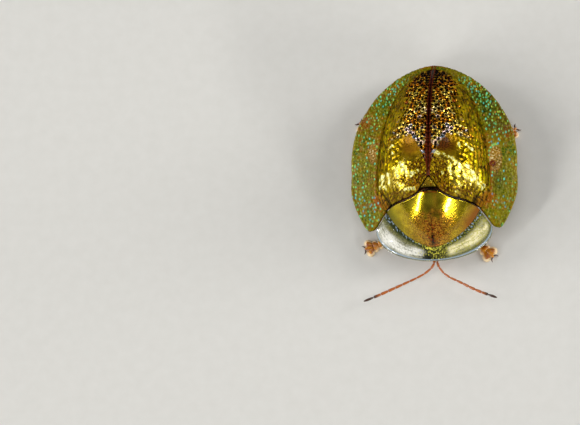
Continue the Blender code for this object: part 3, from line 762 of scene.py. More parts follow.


# Thin clear cuticle, olive from the skin inside it, with sealed cells whose blue and green glints are
# painted on. It is smooth but not polished, so it has soft highlights, and it lets some of the floor
# through.
brim_cuticle, shader, place = new_material("clear_brim_cuticle")
masks = {
    name: add_node(brim_cuticle, "Attribute", {}, out="Fac", attribute_name=name)
    for name in ("cell", "tint", "amber", "shade", "clear", "edge", "glow", "joint")
}
cloud = add_node(brim_cuticle, "TexNoise", {"Vector": place, "Scale": 1 / (BRIM_CLOUD * MM), "Detail": 3})
clouded = add_node(
    brim_cuticle, "MapRange", {"Value": cloud, "From Min": NOISE_LOW, "From Max": NOISE_HIGH}
)
net = add_node(
    brim_cuticle, "TexVoronoi", {"Vector": place, "Scale": 1 / (NET * MM)}, feature="DISTANCE_TO_EDGE"
)
lines = add_node(
    brim_cuticle, "MapRange",
    {"Value": net, "From Min": 0.04, "From Max": 0.16, "To Min": 0.8, "To Max": 0},
)
coats = {
    "cell": add_node(
        brim_cuticle, "ValToRGB", {"Fac": masks["tint"]},
        stops=("#48ccf4", "#70fce0", "#70f8a0", "#d0f050", "#ffac40"),
    ),
    "glow": add_node(
        brim_cuticle, "ValToRGB", {"Fac": masks["glow"]},
        stops=("#7a4408", "#a86410", "#d89c28", "#fff0b4"),
    ),
}
for name, share, below, above in (
    ("skin", clouded, "#3e5800", "#7e6a00"),
    ("skin", masks["shade"], "skin", "#1c2a00"),
    ("skin", masks["amber"], "skin", "#8a4c00"),
    ("net", masks["amber"], "#888000", "#a86400"),
    ("net", masks["shade"], "net", "#485a04"),
    ("over", lines, "skin", "net"),
    ("over", masks["cell"], "over", "cell"),
    ("over", masks["glow"], "over", "glow"),
    ("over", masks["joint"], "over", "#6a0c02"),
    ("over", masks["edge"], "over", "#8a7a18"),
):
    mix = {"Factor": share, 6: coats.get(below, below), 7: coats.get(above, above)}
    coats[name] = add_node(brim_cuticle, "Mix", mix, out=2, data_type="RGBA")
clear = add_node(brim_cuticle, "MapRange", {"Value": masks["clear"], "To Min": 0.97, "To Max": 0.55})
set_inputs(brim_cuticle, shader, {
    "Base Color": coats["over"], "Alpha": clear,
    "Roughness": 0.36, "IOR": CUTICLE_IOR, "Specular IOR Level": 0.1,
})


def brim_surface(x, y):
    return brim_height(x, y) - SKIN_DROP


plan = brim_plan()
skin = on_surface(plan, brim_surface)
x, y = plan[..., 0], plan[..., 1]
out = np.linspace(0, 1, BRIM_ACROSS)[None]
# The sealed cells lie in rows as the pits do, drawn out lengthwise.
spots = pit_rows(skin[:, 6:], CELL_ROWS, CELL_STEP, draw, stray=0.035)
away, which = nearest(spots * CELL_SHAPE, skin * CELL_SHAPE)
cell = smooth_step(peak(away, 0, CELL_RADIUS) * 1.6 - 0.3)
from_seam = column_lengths(skin)
roll = np.clip(1 - from_seam / EDGE_ROLL, 0, 1) ** 2
rim = smooth_step((out - 0.93) / 0.07)
shoulder = peak(x, SHOULDER[0], 0.34) * peak(y, SHOULDER[1], 0.42)
patch = peak(x, SHADE_PATCH[0], 0.2) * peak(y, SHADE_PATCH[1], 0.3)
rear_shade = smooth_step((y - 0.7) / 0.5) * smooth_step((3.0 - y) / 0.5)
near_dome = smooth_step((0.26 - out) / 0.2)
wander = ripples(x, y, 0.9, 19)
mottle = ripples(x, y, 0.22, 20)
sunk = CELL_DEPTH * cell + 0.035 * roll + 0.03 * rim + 0.004 * ripples(x, y, 0.2, 17)
# Each cell has its own tint, and its own chance to be lit with a painted glint.
tints = np.clip(draw.normal(0.30, 0.22, len(spots)), 0, 1)[which]
chance = draw.uniform(0, 1, len(spots))[which]
carved = skin - outward(skin) * sunk[..., None]
wall = BRIM_EDGE_WALL + (BRIM_WALL - BRIM_EDGE_WALL) * (1 - out)
under = skin - outward(skin) * (wall + BRIM_EXTRA_WALL)[..., None]
in_front = smooth_step((-0.7 - y) / 0.4)
behind = smooth_step((y - 0.5) / 0.4)
fine = ripples(x, y, 0.08, 22)
for side_name, (side, depth, shares) in LIT_CELLS.items():
    across = np.array([side, 1, 1])
    share = in_front * shares[0] + behind * shares[2] + (1 - in_front - behind) * shares[1]
    share = np.clip(share + 0.14 * wander, 0.02, 1)
    lit = np.where(chance < share, 0.45 + 0.55 * chance / share, 0.2) * smooth_step((3.2 - y) / 0.5)
    lit *= 1 - 0.4 * in_front * (side > 0)
    # The middle leg shows through: a warm window at its knee, with painted highlights on it and ringed with
    # beads of painted glint, and its foot.
    (knee_x, knee_y), (wide, long) = KNEES[side_name]
    foot_x, foot_y = FEET[side_name]
    round_knee = np.hypot((x - knee_x) / wide, (y - knee_y) / long)
    window = smooth_step((1.12 - round_knee) / 0.3)
    pearl = np.zeros_like(x)
    for degrees in PEARLS[side_name]:
        pearl_x = knee_x + wide * math.cos(math.radians(degrees))
        pearl_y = knee_y + long * math.sin(math.radians(degrees))
        pearl += np.exp(-((x - pearl_x) ** 2 + (y - pearl_y) ** 2) / PEARL_RADIUS**2)
    foot = peak(x, foot_x, 0.30) * peak(y, foot_y, 0.26)
    joint_off = np.hypot(x - knee_x + 0.09, y - knee_y + 0.18)
    joint = peak(joint_off, 0.065, 0.05) * (side > 0)
    shine = bell(x, y, (knee_x - 0.14, knee_y), 0.07) + 0.4 * bell(x, y, (knee_x, knee_y + 0.18), 0.16)
    shine = shine * (side > 0) + 0.5 * bell(x, y, (knee_x, knee_y), 0.25) * (side < 0)
    near_orange = near_dome * (0.25 + 0.65 * peak(y, -0.15, 0.7) * (side > 0))
    warmer = 0.25 * behind + 0.3 * (1 - in_front - behind) * (side < 0)
    tint = np.where(chance < share, tints + warmer, 0.8)
    ambered = 0.95 * shoulder + near_orange + 0.9 * foot + 0.24 * mottle + 0.2 * wander
    paint = {
        "cell": np.clip(cell * lit * (1 - window) + pearl, 0, 1),
        "tint": np.clip(tint + (0.62 + 0.15 * fine - tint) * np.clip(2 * pearl, 0, 1), 0, 1),
        "amber": np.clip(ambered - 0.05 + 0.14 * (side < 0), 0, 1),
        "glow": np.clip(window * (0.36 + 0.16 * depth + 0.20 * fine + 0.45 * shine), 0, 1),
        "joint": np.maximum(joint, peak(x, 0.05, 0.03) * smooth_step((y - 3.0) / 0.2)),
        "shade": np.clip(depth * (rear_shade * (1 - near_dome) + patch) * (0.8 + 0.35 * mottle), 0, 1),
        "clear": np.maximum(0.6 * window, 0.8 * foot) * (1 - rim),
        "edge": 0.8 * rim,
    }
    brim = welded(plate_of(carved * across, under * across, paint))
    handed_in(brim, f"wing_case_brim_{side_name}", brim_cuticle, "gold_shell", f"elytron_{side_name}")

# The scutellum, a small hard triangle of the middle body that shows between the wing cases.
# It is one plate of brown-gold cuticle, set in a groove that is painted dark as shade.
SCUTELLUM_BASE = SEAM_LINE[0][1] + 0.06
SCUTELLUM_ROWS = 40
SCUTELLUM_COLUMNS = 50
SCUTELLUM_WALL = 0.12
SCUTELLUM_GROOVE = 0.035
along = np.linspace(0, 1, SCUTELLUM_ROWS)[:, None]
aside = np.linspace(-1, 1, SCUTELLUM_COLUMNS)[None]
plan = np.stack(
    [
        SCUTELLUM_HALF_WIDTH * (1 - along) ** 0.9 * aside,
        SCUTELLUM_BASE + SCUTELLUM_LENGTH * along + 0 * aside,
    ],
    axis=2,
)
skin = on_surface(plan, wing_case_height)
x, y = plan[..., 0], plan[..., 1]
border = np.minimum(np.minimum(along / 0.2, (1 - along) / 0.15), (1 - np.abs(aside)) / 0.35)
fall = 1 - smooth_step(border)
skin[..., 2] -= SCUTELLUM_GROOVE * fall + 0.003 * ripples(x, y, 0.09, 23)
under = skin - np.array([0, 0, SCUTELLUM_WALL])
brown = np.clip(0.4 + 0.25 * ripples(x, y, 0.15, 29), 0, 1)
paint = {"band": 0.2, "flank": 0.4, "rim": fall, "brown": brown, "glint": 0.12}
triangle = welded(plate_of(skin, under, paint))
handed_in(triangle, "scutellum_plate", gold_cuticle, "gold_shell", "scutellum")

# The raised middle of the shield over head and fore body: the same golden cuticle, smoother,
# grained so finely that it glows, and browner to the front, a painted dark reflection.
BOSS_MEETS_SEAM = 1.60
BOSS_ALONG = 110
BOSS_ACROSS = 190
SHIELD_WALL = 0.12
SHIELD_CLOUD = 0.3
SHIELD_GRAIN = 0.040
SHIELD_GRAIN_DEPTH = 0.008


def boss_edge(aside, tuck=0.0):
    """The front edge of the raised middle, from its right end to its left."""
    x = BOSS_MEETS_SEAM * np.sin(aside * math.pi / 2)
    left_over = np.clip(1 - (np.abs(x) / BOSS_HALF_WIDTH) ** BOSS_POWER, 0, 1)
    return np.stack([x, BOSS_Y - (BOSS_LENGTH - tuck) * left_over ** (1 / BOSS_POWER)], axis=1)


def whole_seam(moved, reach, shares):
    """The seam from side to side, out to a distance from the middle."""
    half = seam(moved)
    half = resampled(half[half[:, 0] < reach], np.abs(shares))
    return half * np.stack([np.sign(shares), np.ones(len(shares))], axis=1)


# The same cuticle without pits: it mirrors the lamps sharply at the back, and a fine grain scatters
# them to a glow at the front. The real grain is finer than the eye can tell, so it is drawn coarser.
gold_shield, shader, place = new_material("golden_shield_cuticle")
masks = {
    name: add_node(gold_shield, "Attribute", {}, out="Fac", attribute_name=name)
    for name in ("grit", "brown", "black", "flank", "rim", "red", "warm")
}
noises, patterns = {}, {}
for name, wave, detail, low, high in (
    ("clouded", SHIELD_CLOUD, 4, NOISE_LOW, NOISE_HIGH),
    ("grained", SHIELD_GRAIN, 3, 0.42, 0.58),
):
    noises[name] = add_node(
        gold_shield, "TexNoise", {"Vector": place, "Scale": 1 / (wave * MM), "Detail": detail}
    )
    patterns[name] = add_node(
        gold_shield, "MapRange", {"Value": noises[name], "From Min": low, "From Max": high}
    )
coats = {}
for name, share, below, above in (
    ("gold", patterns["clouded"], "#a08804", "#dcc424"),
    ("fine", patterns["grained"], "#84680a", "gold"),
    ("over", masks["grit"], "gold", "fine"),
    ("side", masks["warm"], "#847c04", "#985a08"),
    ("over", masks["flank"], "over", "side"),
    ("speck", patterns["grained"], "#64280a", "#e8a030"),
    ("over", masks["brown"], "over", "speck"),
    ("over", masks["black"], "over", "#140802"),
    ("over", masks["red"], "over", "#b02c04"),
    ("over", masks["rim"], "over", "#200a03"),
):
    mix = {"Factor": share, 6: coats.get(below, below), 7: coats.get(above, above)}
    coats[name] = add_node(gold_shield, "Mix", mix, out=2, data_type="RGBA")
strength = add_node(gold_shield, "MapRange", {"Value": masks["grit"], "To Min": 0.12, "To Max": 0.7})
bump = add_node(
    gold_shield, "Bump",
    {"Height": noises["grained"], "Strength": strength, "Distance": SHIELD_GRAIN_DEPTH * MM},
)
metallic = add_node(gold_shield, "MapRange", {"Value": masks["brown"], "To Min": 0.94, "To Max": 0.5})
set_inputs(gold_shield, shader, {
    "Base Color": coats["over"], "Normal": bump, "Metallic": metallic, "Roughness": 0.15,
    "Specular Tint": "#b8b040", "Coat Weight": 0.45, "Coat Roughness": 0.05,
})

aside = np.linspace(-1, 1, BOSS_ACROSS)
rear = whole_seam(-SEAM_GAP / 2, BOSS_MEETS_SEAM, aside)
plan = ruled(rear, boss_edge(aside), np.linspace(0, 1, BOSS_ALONG)).transpose(1, 0, 2)
skin = on_surface(plan, shield_height)
x, y = plan[..., 0], plan[..., 1]
from_seam = column_lengths(skin)
from_edge = column_lengths(skin[::-1])[::-1]
roll = np.clip(1 - from_seam / EDGE_ROLL, 0, 1) ** 2
front_roll = np.clip(1 - from_edge / 0.05, 0, 1) ** 2
# The front half is painted browner, a painted dark reflection, with a dark line in its middle, and a furrow
# lies behind it.
front_half = smooth_step((-1.90 - y + 0.10 * ripples(x, y, 0.25, 41)) / 0.55)
middle_line = peak(x, 0, 0.045) * smooth_step((-1.55 - y) / 0.3)
furrow = peak(x, 0, 0.06) * smooth_step((-1.48 - y) / 0.1) * smooth_step((y + 2.1) / 0.3)
sunk = 0.035 * roll + 0.02 * front_roll + 0.012 * middle_line * front_half + 0.026 * furrow
sunk += 0.0012 * ripples(x, 0.5 * y, 0.5, 31) + 0.0002 * ripples(x, y, 0.07, 37)
brown = front_half * peak(x, 0.06, 0.34 + 0.55 * (y + 3.1))
beside = peak(x, 0.17, 0.09) * smooth_step((y + 2.1) / 0.2)
brown = np.clip(0.95 * brown + 0.4 * beside, 0, 1)
spots = smooth_step(ripples(x, y, 0.12, 39) - 0.4) * bell(x, y, (0.0, -2.75), 0.45)
blots = 0.9 * bell(x, y, (0.0, -2.88), 0.14) + 0.9 * spots
flecks = smooth_step(ripples(x, y, 0.10, 40) - 0.6) * bell(x, y, (0.0, -2.65), 0.5)
# The rim is painted shade, near black: along the seam and where the boss meets the margin.
paint = {
    "grit": smooth_step((-1.75 - y) / 0.4) * (0.4 + 0.6 * np.clip(2 * brown, 0, 1)),
    "brown": brown,
    "black": np.clip(0.85 * blots + 0.4 * middle_line * front_half, 0, 1),
    "flank": smooth_step((np.abs(x) - 0.75) / 0.5) * smooth_step((0.75 - from_edge) / 0.6),
    "warm": smooth_step(x + 0.5),
    "rim": np.maximum(np.clip(roll * 2, 0, 1), 0.85 * smooth_step(front_roll * 1.6)),
    "red": peak(from_seam, 0.055, 0.022) * (np.abs(x) < 0.27) + 0.8 * flecks,
}
carved = skin - outward(skin) * sunk[..., None]
under = skin - outward(skin) * SHIELD_WALL - np.array([0, 0, UNDER_DROP])
boss = welded(plate_of(carved, under, paint))
handed_in(boss, "shield_boss", gold_shield, "gold_shield", "pronotum")

# The shield's clear front margin, thin as a fingernail and as glassy, which reaches out over the
# head. It is colourless but for a fine net near the boss and a bluish line along its rim, with painted
# highlights on its sides and painted shade in its middle.
SHIELD_HALF_WIDTH = 2.0
SHIELD_CORNER_Y = -2.40
SHIELD_REACH = 1.10
SHIELD_SWEEP = math.radians(93)
MARGIN_ALONG = 240
MARGIN_ACROSS = 44
MARGIN_WALL = 0.08
MARGIN_NET_DEPTH = 0.004

# Cuticle as thin and clear as a fingernail's end, grown with creases and a fine net: glassy gloss, with a
# milky painted highlight of the lamps on each side, and a painted shade, dusky, where it lies over the dark
# head.
clear_margin, shader, place = new_material("glassy_margin_cuticle")
masks = {
    name: add_node(clear_margin, "Attribute", {}, out="Fac", attribute_name=name)
    for name in ("edge", "near", "dusk", "painted_highlight", "vein", "warm")
}
net = add_node(
    clear_margin, "TexVoronoi", {"Vector": place, "Scale": 1 / (NET * MM)}, feature="DISTANCE_TO_EDGE"
)
lines = add_node(
    clear_margin, "MapRange", {"Value": net, "From Min": 0.02, "From Max": 0.16, "To Min": 1, "To Max": 0}
)
coats = {}
for name, share, below, above in (
    ("over", lines, "#5c601c", "#848238"),
    ("painted_highlight", masks["warm"], "#fffdf0", "#fff0a0"),
    ("over", masks["painted_highlight"], "over", "painted_highlight"),
    ("over", masks["dusk"], "over", "#0e1404"),
    ("over", masks["near"], "over", "#1c2c0a"),
    ("over", masks["vein"], "over", "#f4ec58"),
    ("over", masks["edge"], "over", "#a4b8d0"),
):
    mix = {"Factor": share, 6: coats.get(below, below), 7: coats.get(above, above)}
    coats[name] = add_node(clear_margin, "Mix", mix, out=2, data_type="RGBA")
opaque = masks["dusk"]
for name in ("near", "edge", "painted_highlight"):
    opaque = add_node(clear_margin, "Math", {0: opaque, 1: masks[name]}, operation="MAXIMUM")
opaque = add_node(clear_margin, "MapRange", {"Value": opaque, "To Min": 0.66, "To Max": 0.92})
bump = add_node(
    clear_margin, "Bump", {"Height": lines, "Strength": 0.2, "Distance": MARGIN_NET_DEPTH * MM}
)
set_inputs(clear_margin, shader, {
    "Base Color": coats["over"], "Alpha": opaque, "Normal": bump,
    "Roughness": 0.16, "IOR": CUTICLE_IOR, "Coat Weight": 0.7, "Coat Roughness": 0.04,
})

aside = np.linspace(-1, 1, MARGIN_ALONG)
outer_x = SHIELD_HALF_WIDTH * np.sin(aside * SHIELD_SWEEP)
outer_y = SHIELD_CORNER_Y - SHIELD_REACH * np.cos(aside * SHIELD_SWEEP)
outer = np.stack([outer_x, outer_y], axis=1)
plan = ruled(boss_edge(aside, BRIM_TUCK), outer, np.linspace(0, 1, MARGIN_ACROSS))
skin = on_surface(plan, brim_surface)
x, y = plan[..., 0], plan[..., 1]
out = np.linspace(0, 1, MARGIN_ACROSS)[None]
turned = aside[:, None]
rim = smooth_step((out - 0.92) / 0.08)
ends = smooth_step((np.abs(turned) - 0.985) / 0.015)
sunk = 0.03 * np.maximum(rim, ends) + 0.004 * ripples(x, y, 0.35, 43)
round_it = turned * 2.6 + 0 * out
streaks = ripples(round_it, out, 0.9, 45) + 0.7 * ripples(round_it, 8 * out, 1.1, 46)
# One milky band on each side is a painted highlight of the lamps.
left_painted_highlight = peak(out + 0.1 * (turned + 0.5), 0.62, 0.26, 4)
left_painted_highlight *= smooth_step((-0.07 - turned) / 0.08) * smooth_step((0.97 + turned) / 0.1)
right_painted_highlight = peak(out, 0.50, 0.24, 4)
right_painted_highlight = right_painted_highlight * smooth_step((turned - 0.12) / 0.1) * smooth_step((0.95 - turned) / 0.15)
# Creases cross the margin, and two pale veins lie just ahead of the boss.
creases = peak(ripples(x + y, 0.5 * (y - x), 0.14, 52), 0, 0.2)
creases = np.maximum(creases, peak(ripples(x - y, 0.5 * (y + x), 0.16, 54), 0, 0.16))
front_tip = BOSS_Y - BOSS_LENGTH
vein_line = np.abs(y - front_tip + 0.08 - 0.5 * np.abs(x) + 0.015 * ripples(x, y, 0.15, 48))
second_vein = np.abs(y - front_tip + 0.24 - 0.9 * np.abs(x) + 0.015 * ripples(x, y, 0.15, 49))
broken = np.clip(0.75 + 0.5 * ripples(x, y, 0.09, 50), 0, 1)
# The beads along the boss and the flecks in the middle are painted glints.
beads = smooth_step(2 * ripples(x, y, 0.10, 51) - 1.5) * smooth_step((0.16 - out) / 0.04)
middle_flecks = smooth_step(2 * ripples(1.6 * x, 0.8 * y, 0.10, 55) - 2.1) * peak(x, 0, 0.55, 4)
# Dusk is painted shade, near black, in the middle where the margin lies over the head and along creases;
# near darkens a band beside the boss.
paint = {
    "edge": 0.8 * smooth_step((out - 0.86) / 0.04) * smooth_step((0.97 - out) / 0.04)
    + 0.9 * beads * smooth_step((np.abs(x) - 0.35) / 0.2),
    "near": 0.9 * smooth_step((0.24 - out) / 0.1),
    "dusk": np.clip(peak(x, 0, 0.46, 4) * (0.9 + 0.25 * ripples(x, y, 0.25, 47)), 0, 1)
    * smooth_step((0.97 - out) / 0.1)
    + 0.3 * creases * smooth_step((out - 0.2) / 0.1) * smooth_step((0.9 - out) / 0.1),
    "painted_highlight": np.clip((left_painted_highlight + right_painted_highlight) * (0.95 + 0.25 * streaks - 0.42 * creases), 0, 1),
    "warm": smooth_step(x / 0.5 + 0.5) * (0.6 + 0.4 * creases),
    "vein": np.clip(
        broken * peak(vein_line, 0, 0.024) * smooth_step((0.8 - np.abs(x)) / 0.3)
        + broken * peak(second_vein, 0, 0.018) * (np.abs(x) < 0.25)
        + 0.5 * creases * smooth_step(x / 0.5 + 0.2) * smooth_step((0.85 - out) / 0.1)
        + 0.7 * middle_flecks, 0, 1,
    ),
}
carved = skin - outward(skin) * sunk[..., None]
under = skin - outward(skin) * MARGIN_WALL
margin = welded(plate_of(carved, under, paint))
handed_in(margin, "shield_margin", clear_margin, "gold_shield", "pronotum")

# The under side of the body closes the shell from below: plates of brown cuticle, the belly's
# five overlapping like tiles, the middle body's with the hollows that the hips turn in.
BODY_SHARE = 0.90  # of the dome's and the boss's width that the body fills
VENTER_Z = 0.95
VENTER_CURVE = 0.06
STERNITES = 5
STERNITE_STEP = 0.05
BODY_CLEARANCE = 0.09  # between the body's upper face and the shell's wall
BODY_LEAST_HEIGHT = 0.1
FORE_BODY = (-2.48, -1.66)
MIDDLE_BODY = (-1.60, 0.16)
BELLY = (0.20, 2.80)
HIPS = ((0.42, -2.08), (0.52, -0.80), (0.50, -0.24))
HIP_HOLLOW = 0.30
BELLY_CLOUD = 0.4
BELLY_SCALES = 0.06
BELLY_SCALE_DEPTH = 0.006
HAIR_COUNT = 420
HAIR_LENGTH = 0.09
HAIR_RADIUS = 0.005
HAIR_CLOUD = 0.1

# Thick tanned cuticle, grown in small scales: dark brown with a low satin shine, and paler where the
# plates' rear edges run thin.
brown_cuticle, shader, place = new_material("tanned_brown_cuticle")
cloud = add_node(
    brown_cuticle, "TexNoise", {"Vector": place, "Scale": 1 / (BELLY_CLOUD * MM), "Detail": 5}
)
scales = add_node(brown_cuticle, "TexVoronoi", {"Vector": place, "Scale": 1 / (BELLY_SCALES * MM)})
edge = add_node(brown_cuticle, "Attribute", {}, out="Fac", attribute_name="edge")
coats = {}
for name, share, below, above in (
    ("over", cloud, "#341604", "#8a4c14"),
    ("over", edge, "over", "#b07428"),
):
    mix = {"Factor": share, 6: coats.get(below, below), 7: coats.get(above, above)}
    coats[name] = add_node(brown_cuticle, "Mix", mix, out=2, data_type="RGBA")
bump = add_node(
    brown_cuticle, "Bump", {"Height": scales, "Strength": 0.5, "Distance": BELLY_SCALE_DEPTH * MM}
)
set_inputs(brown_cuticle, shader, {
    "Base Color": coats["over"], "Normal": bump, "Roughness": 0.34, "IOR": CUTICLE_IOR,
})


def body_half_width(y):
    """Half the body's width under the wing cases, and ahead of them under the shield's boss."""
    reach = BODY_SHARE * np.where(y < DISC_Y, DISC_FRONT, DISC_REAR)
    under_dome = BODY_SHARE * DISC_HALF_WIDTH * np.sqrt(np.clip(1 - ((y - DISC_Y) / reach) ** 2, 0.02, 1))
    ahead = np.clip(1 - (np.abs(y - BOSS_Y) / (BODY_SHARE * BOSS_LENGTH)) ** BOSS_POWER, 0.02, 1)
    under_boss = BODY_SHARE * BOSS_HALF_WIDTH * ahead ** (1 / BOSS_POWER)
    return np.where(y < FORE_BODY[1], under_boss, np.minimum(under_dome, 1.6 + 2 * np.maximum(y + 1.6, 0)))


def ring_place(x, y):
    """How many belly rings lie ahead of a point."""
    return (y - BELLY[0] + 0.09 * x**2) / ((BELLY[1] - BELLY[0]) / STERNITES)


def belly_height(x, y):
    """The under side's level, with a step at the end of each belly ring and hollows at the hips."""
    ring = ring_place(x, y)
    step = STERNITE_STEP * np.where(ring > 0, ring % 1, 0) ** 2
    hollow = sum(bell(x, y, hip, HIP_HOLLOW) for hip in HIPS)
    groove = peak(x, 0, 0.03) * (y < BELLY[0] - 0.1)
    side = peak(np.abs(x) - 1.18 - 0.12 * y, 0, 0.025) * (y < BELLY[0] - 0.1)
    return VENTER_Z + VENTER_CURVE * x**2 + step + 0.10 * hollow + 0.03 * groove + 0.03 * side


def body_plate(name, ends, rows, columns, height_over, node):
    """One length of the body: its lower face modelled, its upper face just under the shell."""
    y = np.linspace(*ends, rows)[:, None] + np.zeros((1, columns))
    x = body_half_width(y) * np.linspace(-1, 1, columns)[None]
    lower = np.stack([x, y, belly_height(x, y) + 0.004 * ripples(x, y, 0.25, 53)], axis=2)
    upper = np.stack([x, y, height_over(x, y) - DOME_WALL - BODY_CLEARANCE], axis=2)
    upper[..., 2] = np.maximum(upper[..., 2], lower[..., 2] + BODY_LEAST_HEIGHT)
    ring = ring_place(x, y)
    tan = np.where(ring > 0, smooth_step((ring % 1 - 0.72) / 0.2), 0)
    plate = welded(plate_of(upper, lower, {"edge": 0.8 * tan}))
    handed_in(plate, name, brown_cuticle, "brown_cuticle", node)


def seam_height(x, y):
    """The shell's level where the middle body passes in under the shield."""
    return np.minimum(wing_case_height(x, y), shield_height(x, y) + smooth_step((y + 1.30) / 0.6))


body_plate("belly_plates", BELLY, 150, 100, wing_case_height, "abdomen")
body_plate("middle_body_plates", MIDDLE_BODY, 110, 100, seam_height, "thorax")
body_plate("fore_body_plates", FORE_BODY, 60, 90, shield_height, "prosternum")


def joined_mesh(name, points, faces):
    """One mesh object from arrays, for many small like shapes."""
    mesh = bpy.data.meshes.new(name)
    mesh.from_pydata(points.tolist(), [], faces.tolist())
    mesh.validate()
    piece = bpy.data.objects.new(name, mesh)
    bpy.context.scene.collection.objects.link(piece)
    return piece


def bristles(name, roots, tips, radius, sides=4):
    """Fine hairs, each a slim cone from its root to its tip, all in one mesh."""
    along = tips - roots
    along /= np.linalg.norm(along, axis=1)[:, None]
    aside = np.cross(along, np.where(np.abs(along[:, 2:]) > 0.9, (1.0, 0, 0), (0, 0, 1.0)))
    aside /= np.linalg.norm(aside, axis=1)[:, None]
    third = np.cross(along, aside)
    turns = np.arange(sides) * 2 * math.pi / sides
    ring = (
        roots[:, None]
        + radius * np.cos(turns)[None, :, None] * aside[:, None]
        + radius * np.sin(turns)[None, :, None] * third[:, None]
    )
    points = np.concatenate([ring, tips[:, None]], axis=1).reshape(-1, 3)
    first = np.arange(len(roots))[:, None] * (sides + 1)
    flanks = [first + np.array([[k, (k + 1) % sides, sides]]) for k in range(sides)]
    base = [first + np.array([[0, k + 1, k]]) for k in range(1, sides - 1)]
    return joined_mesh(name, points, np.concatenate(flanks + base))


# Cuticle drawn out to hollow hairs a few thousandths of a millimetre thick: pale straw, with the low
# gloss of cut bristle. They are drawn thicker than real ones, which wouldn't show.
pale_hair, shader, place = new_material("pale_hair")
cloud = add_node(pale_hair, "TexNoise", {"Vector": place, "Scale": 1 / (HAIR_CLOUD * MM)})
over = add_node(pale_hair, "Mix", {"Factor": cloud, 6: "#e0b060", 7: "#fff0cc"}, out=2, data_type="RGBA")
set_inputs(pale_hair, shader, {"Base Color": over, "Roughness": 0.45})

draw = np.random.default_rng(61)
y = draw.uniform(BELLY[0] + 0.1, BELLY[1] - 0.1, HAIR_COUNT)
x = draw.uniform(-0.92, 0.92, HAIR_COUNT) * body_half_width(y)
roots = np.stack([x, y, belly_height(x, y) + 0.004], axis=1)
lean = np.stack([0.15 * x, np.full(HAIR_COUNT, 0.85), np.full(HAIR_COUNT, -0.45)], axis=1)
tips = roots + HAIR_LENGTH * lean
handed_in(bristles("belly_hairs", roots, tips, HAIR_RADIUS), "belly_hairs", pale_hair, "brown_cuticle")

# The head hangs under the shield's margin with its mouth to the ground: one hard capsule, amber
# on the face and dark on the crown, with a lip, two jaws and a pair of small feeling palps of two joints
# each.
HEAD_AT = np.array([0, -2.78, 0.54])
HEAD_SEMI = np.array([0.50, 0.33, 0.33])
FACE_AT = np.array([0, -2.86, 0.36])
FACE_SEMI = np.array([0.30, 0.22, 0.20])
EYE_AT = np.array([0.44, -2.80, 0.57])
EYE_SEMI = np.array([0.17, 0.21, 0.24])
JAW = ((0.10, -3.02, 0.26), (0.02, -3.10, 0.15))
JAW_STATIONS = ((0, 0.07, 0.05), (0.4, 0.07, 0.05), (0.8, 0.04, 0.03), (1, 0.01, 0.01))
PALP = ((0.15, -2.98, 0.27), (0.20, -3.08, 0.17), (0.21, -3.14, 0.08))
PALP_STATIONS = ((0, 0.025, 0.025), (0.3, 0.04, 0.04), (0.8, 0.045, 0.045), (1, 0.02, 0.02))
SOCKET_RADIUS = 0.24
HEAD_CLOUD = 0.25
HEAD_GRAIN = 0.02
HEAD_GRAIN_DEPTH = 0.003
HEAD_SEGMENTS = 72
HEAD_RINGS = 48

# Tanned cuticle thin enough for light to seep in: amber like varnish on wood, darker on the crown,
# with a waxy gloss over a fine leathery grain.
amber_cuticle, shader, place = new_material("amber_cuticle")
cloud = add_node(
    amber_cuticle, "TexNoise", {"Vector": place, "Scale": 1 / (HEAD_CLOUD * MM), "Detail": 4}
)
grain = add_node(
    amber_cuticle, "TexNoise", {"Vector": place, "Scale": 1 / (HEAD_GRAIN * MM), "Detail": 2}
)
dusk = add_node(amber_cuticle, "Attribute", {}, out="Fac", attribute_name="dusk")
coats = {}
for name, share, below, above in (
    ("over", cloud, "#943c06", "#c87218"),
    ("over", dusk, "over", "#1a0c04"),
):
    mix = {"Factor": share, 6: coats.get(below, below), 7: coats.get(above, above)}
    coats[name] = add_node(amber_cuticle, "Mix", mix, out=2, data_type="RGBA")
bump = add_node(
    amber_cuticle, "Bump", {"Height": grain, "Strength": 0.3, "Distance": HEAD_GRAIN_DEPTH * MM}
)
set_inputs(amber_cuticle, shader, {
    "Base Color": coats["over"], "Normal": bump, "Roughness": 0.32, "IOR": CUTICLE_IOR,
    "Subsurface Weight": 0.15, "Subsurface Radius": (0.1 * MM, 0.05 * MM, 0.02 * MM),
    "Coat Weight": 0.25, "Coat Roughness": 0.1,
})


def painted(piece, name, values):
    """Stores one number for each of a mesh's vertices, or the same one for all."""
    layer = piece.data.attributes.new(name, "FLOAT", "POINT")
    layer.data.foreach_set("value", np.broadcast_to(values, len(piece.data.vertices)).astype(float))
    return piece


def vertex_places(piece):
    places = np.empty(3 * len(piece.data.vertices))
    piece.data.vertices.foreach_get("co", places)
    return places.reshape(-1, 3)


def ball(at, semi, segments=32, rings=20):
    """A sphere primitive drawn out to an ellipsoid, with its place in its mesh."""
    bpy.ops.object.select_all(action="DESELECT")
    bpy.ops.mesh.primitive_uv_sphere_add(segments=segments, ring_count=rings, radius=1)
    piece = bpy.context.object
    bpy.ops.object.mode_set(mode="EDIT")
    bpy.ops.mesh.select_all(action="SELECT")
    bpy.ops.transform.resize(value=tuple(semi), center_override=(0, 0, 0))
    bpy.ops.transform.translate(value=tuple(at))
    bpy.ops.object.mode_set(mode="OBJECT")
    return piece


def together(pieces):
    """Joins objects into the first of them."""
    bpy.ops.object.select_all(action="DESELECT")
    for piece in pieces:
        piece.select_set(True)
    bpy.context.view_layer.objects.active = pieces[0]
    bpy.ops.object.join()
    return pieces[0]


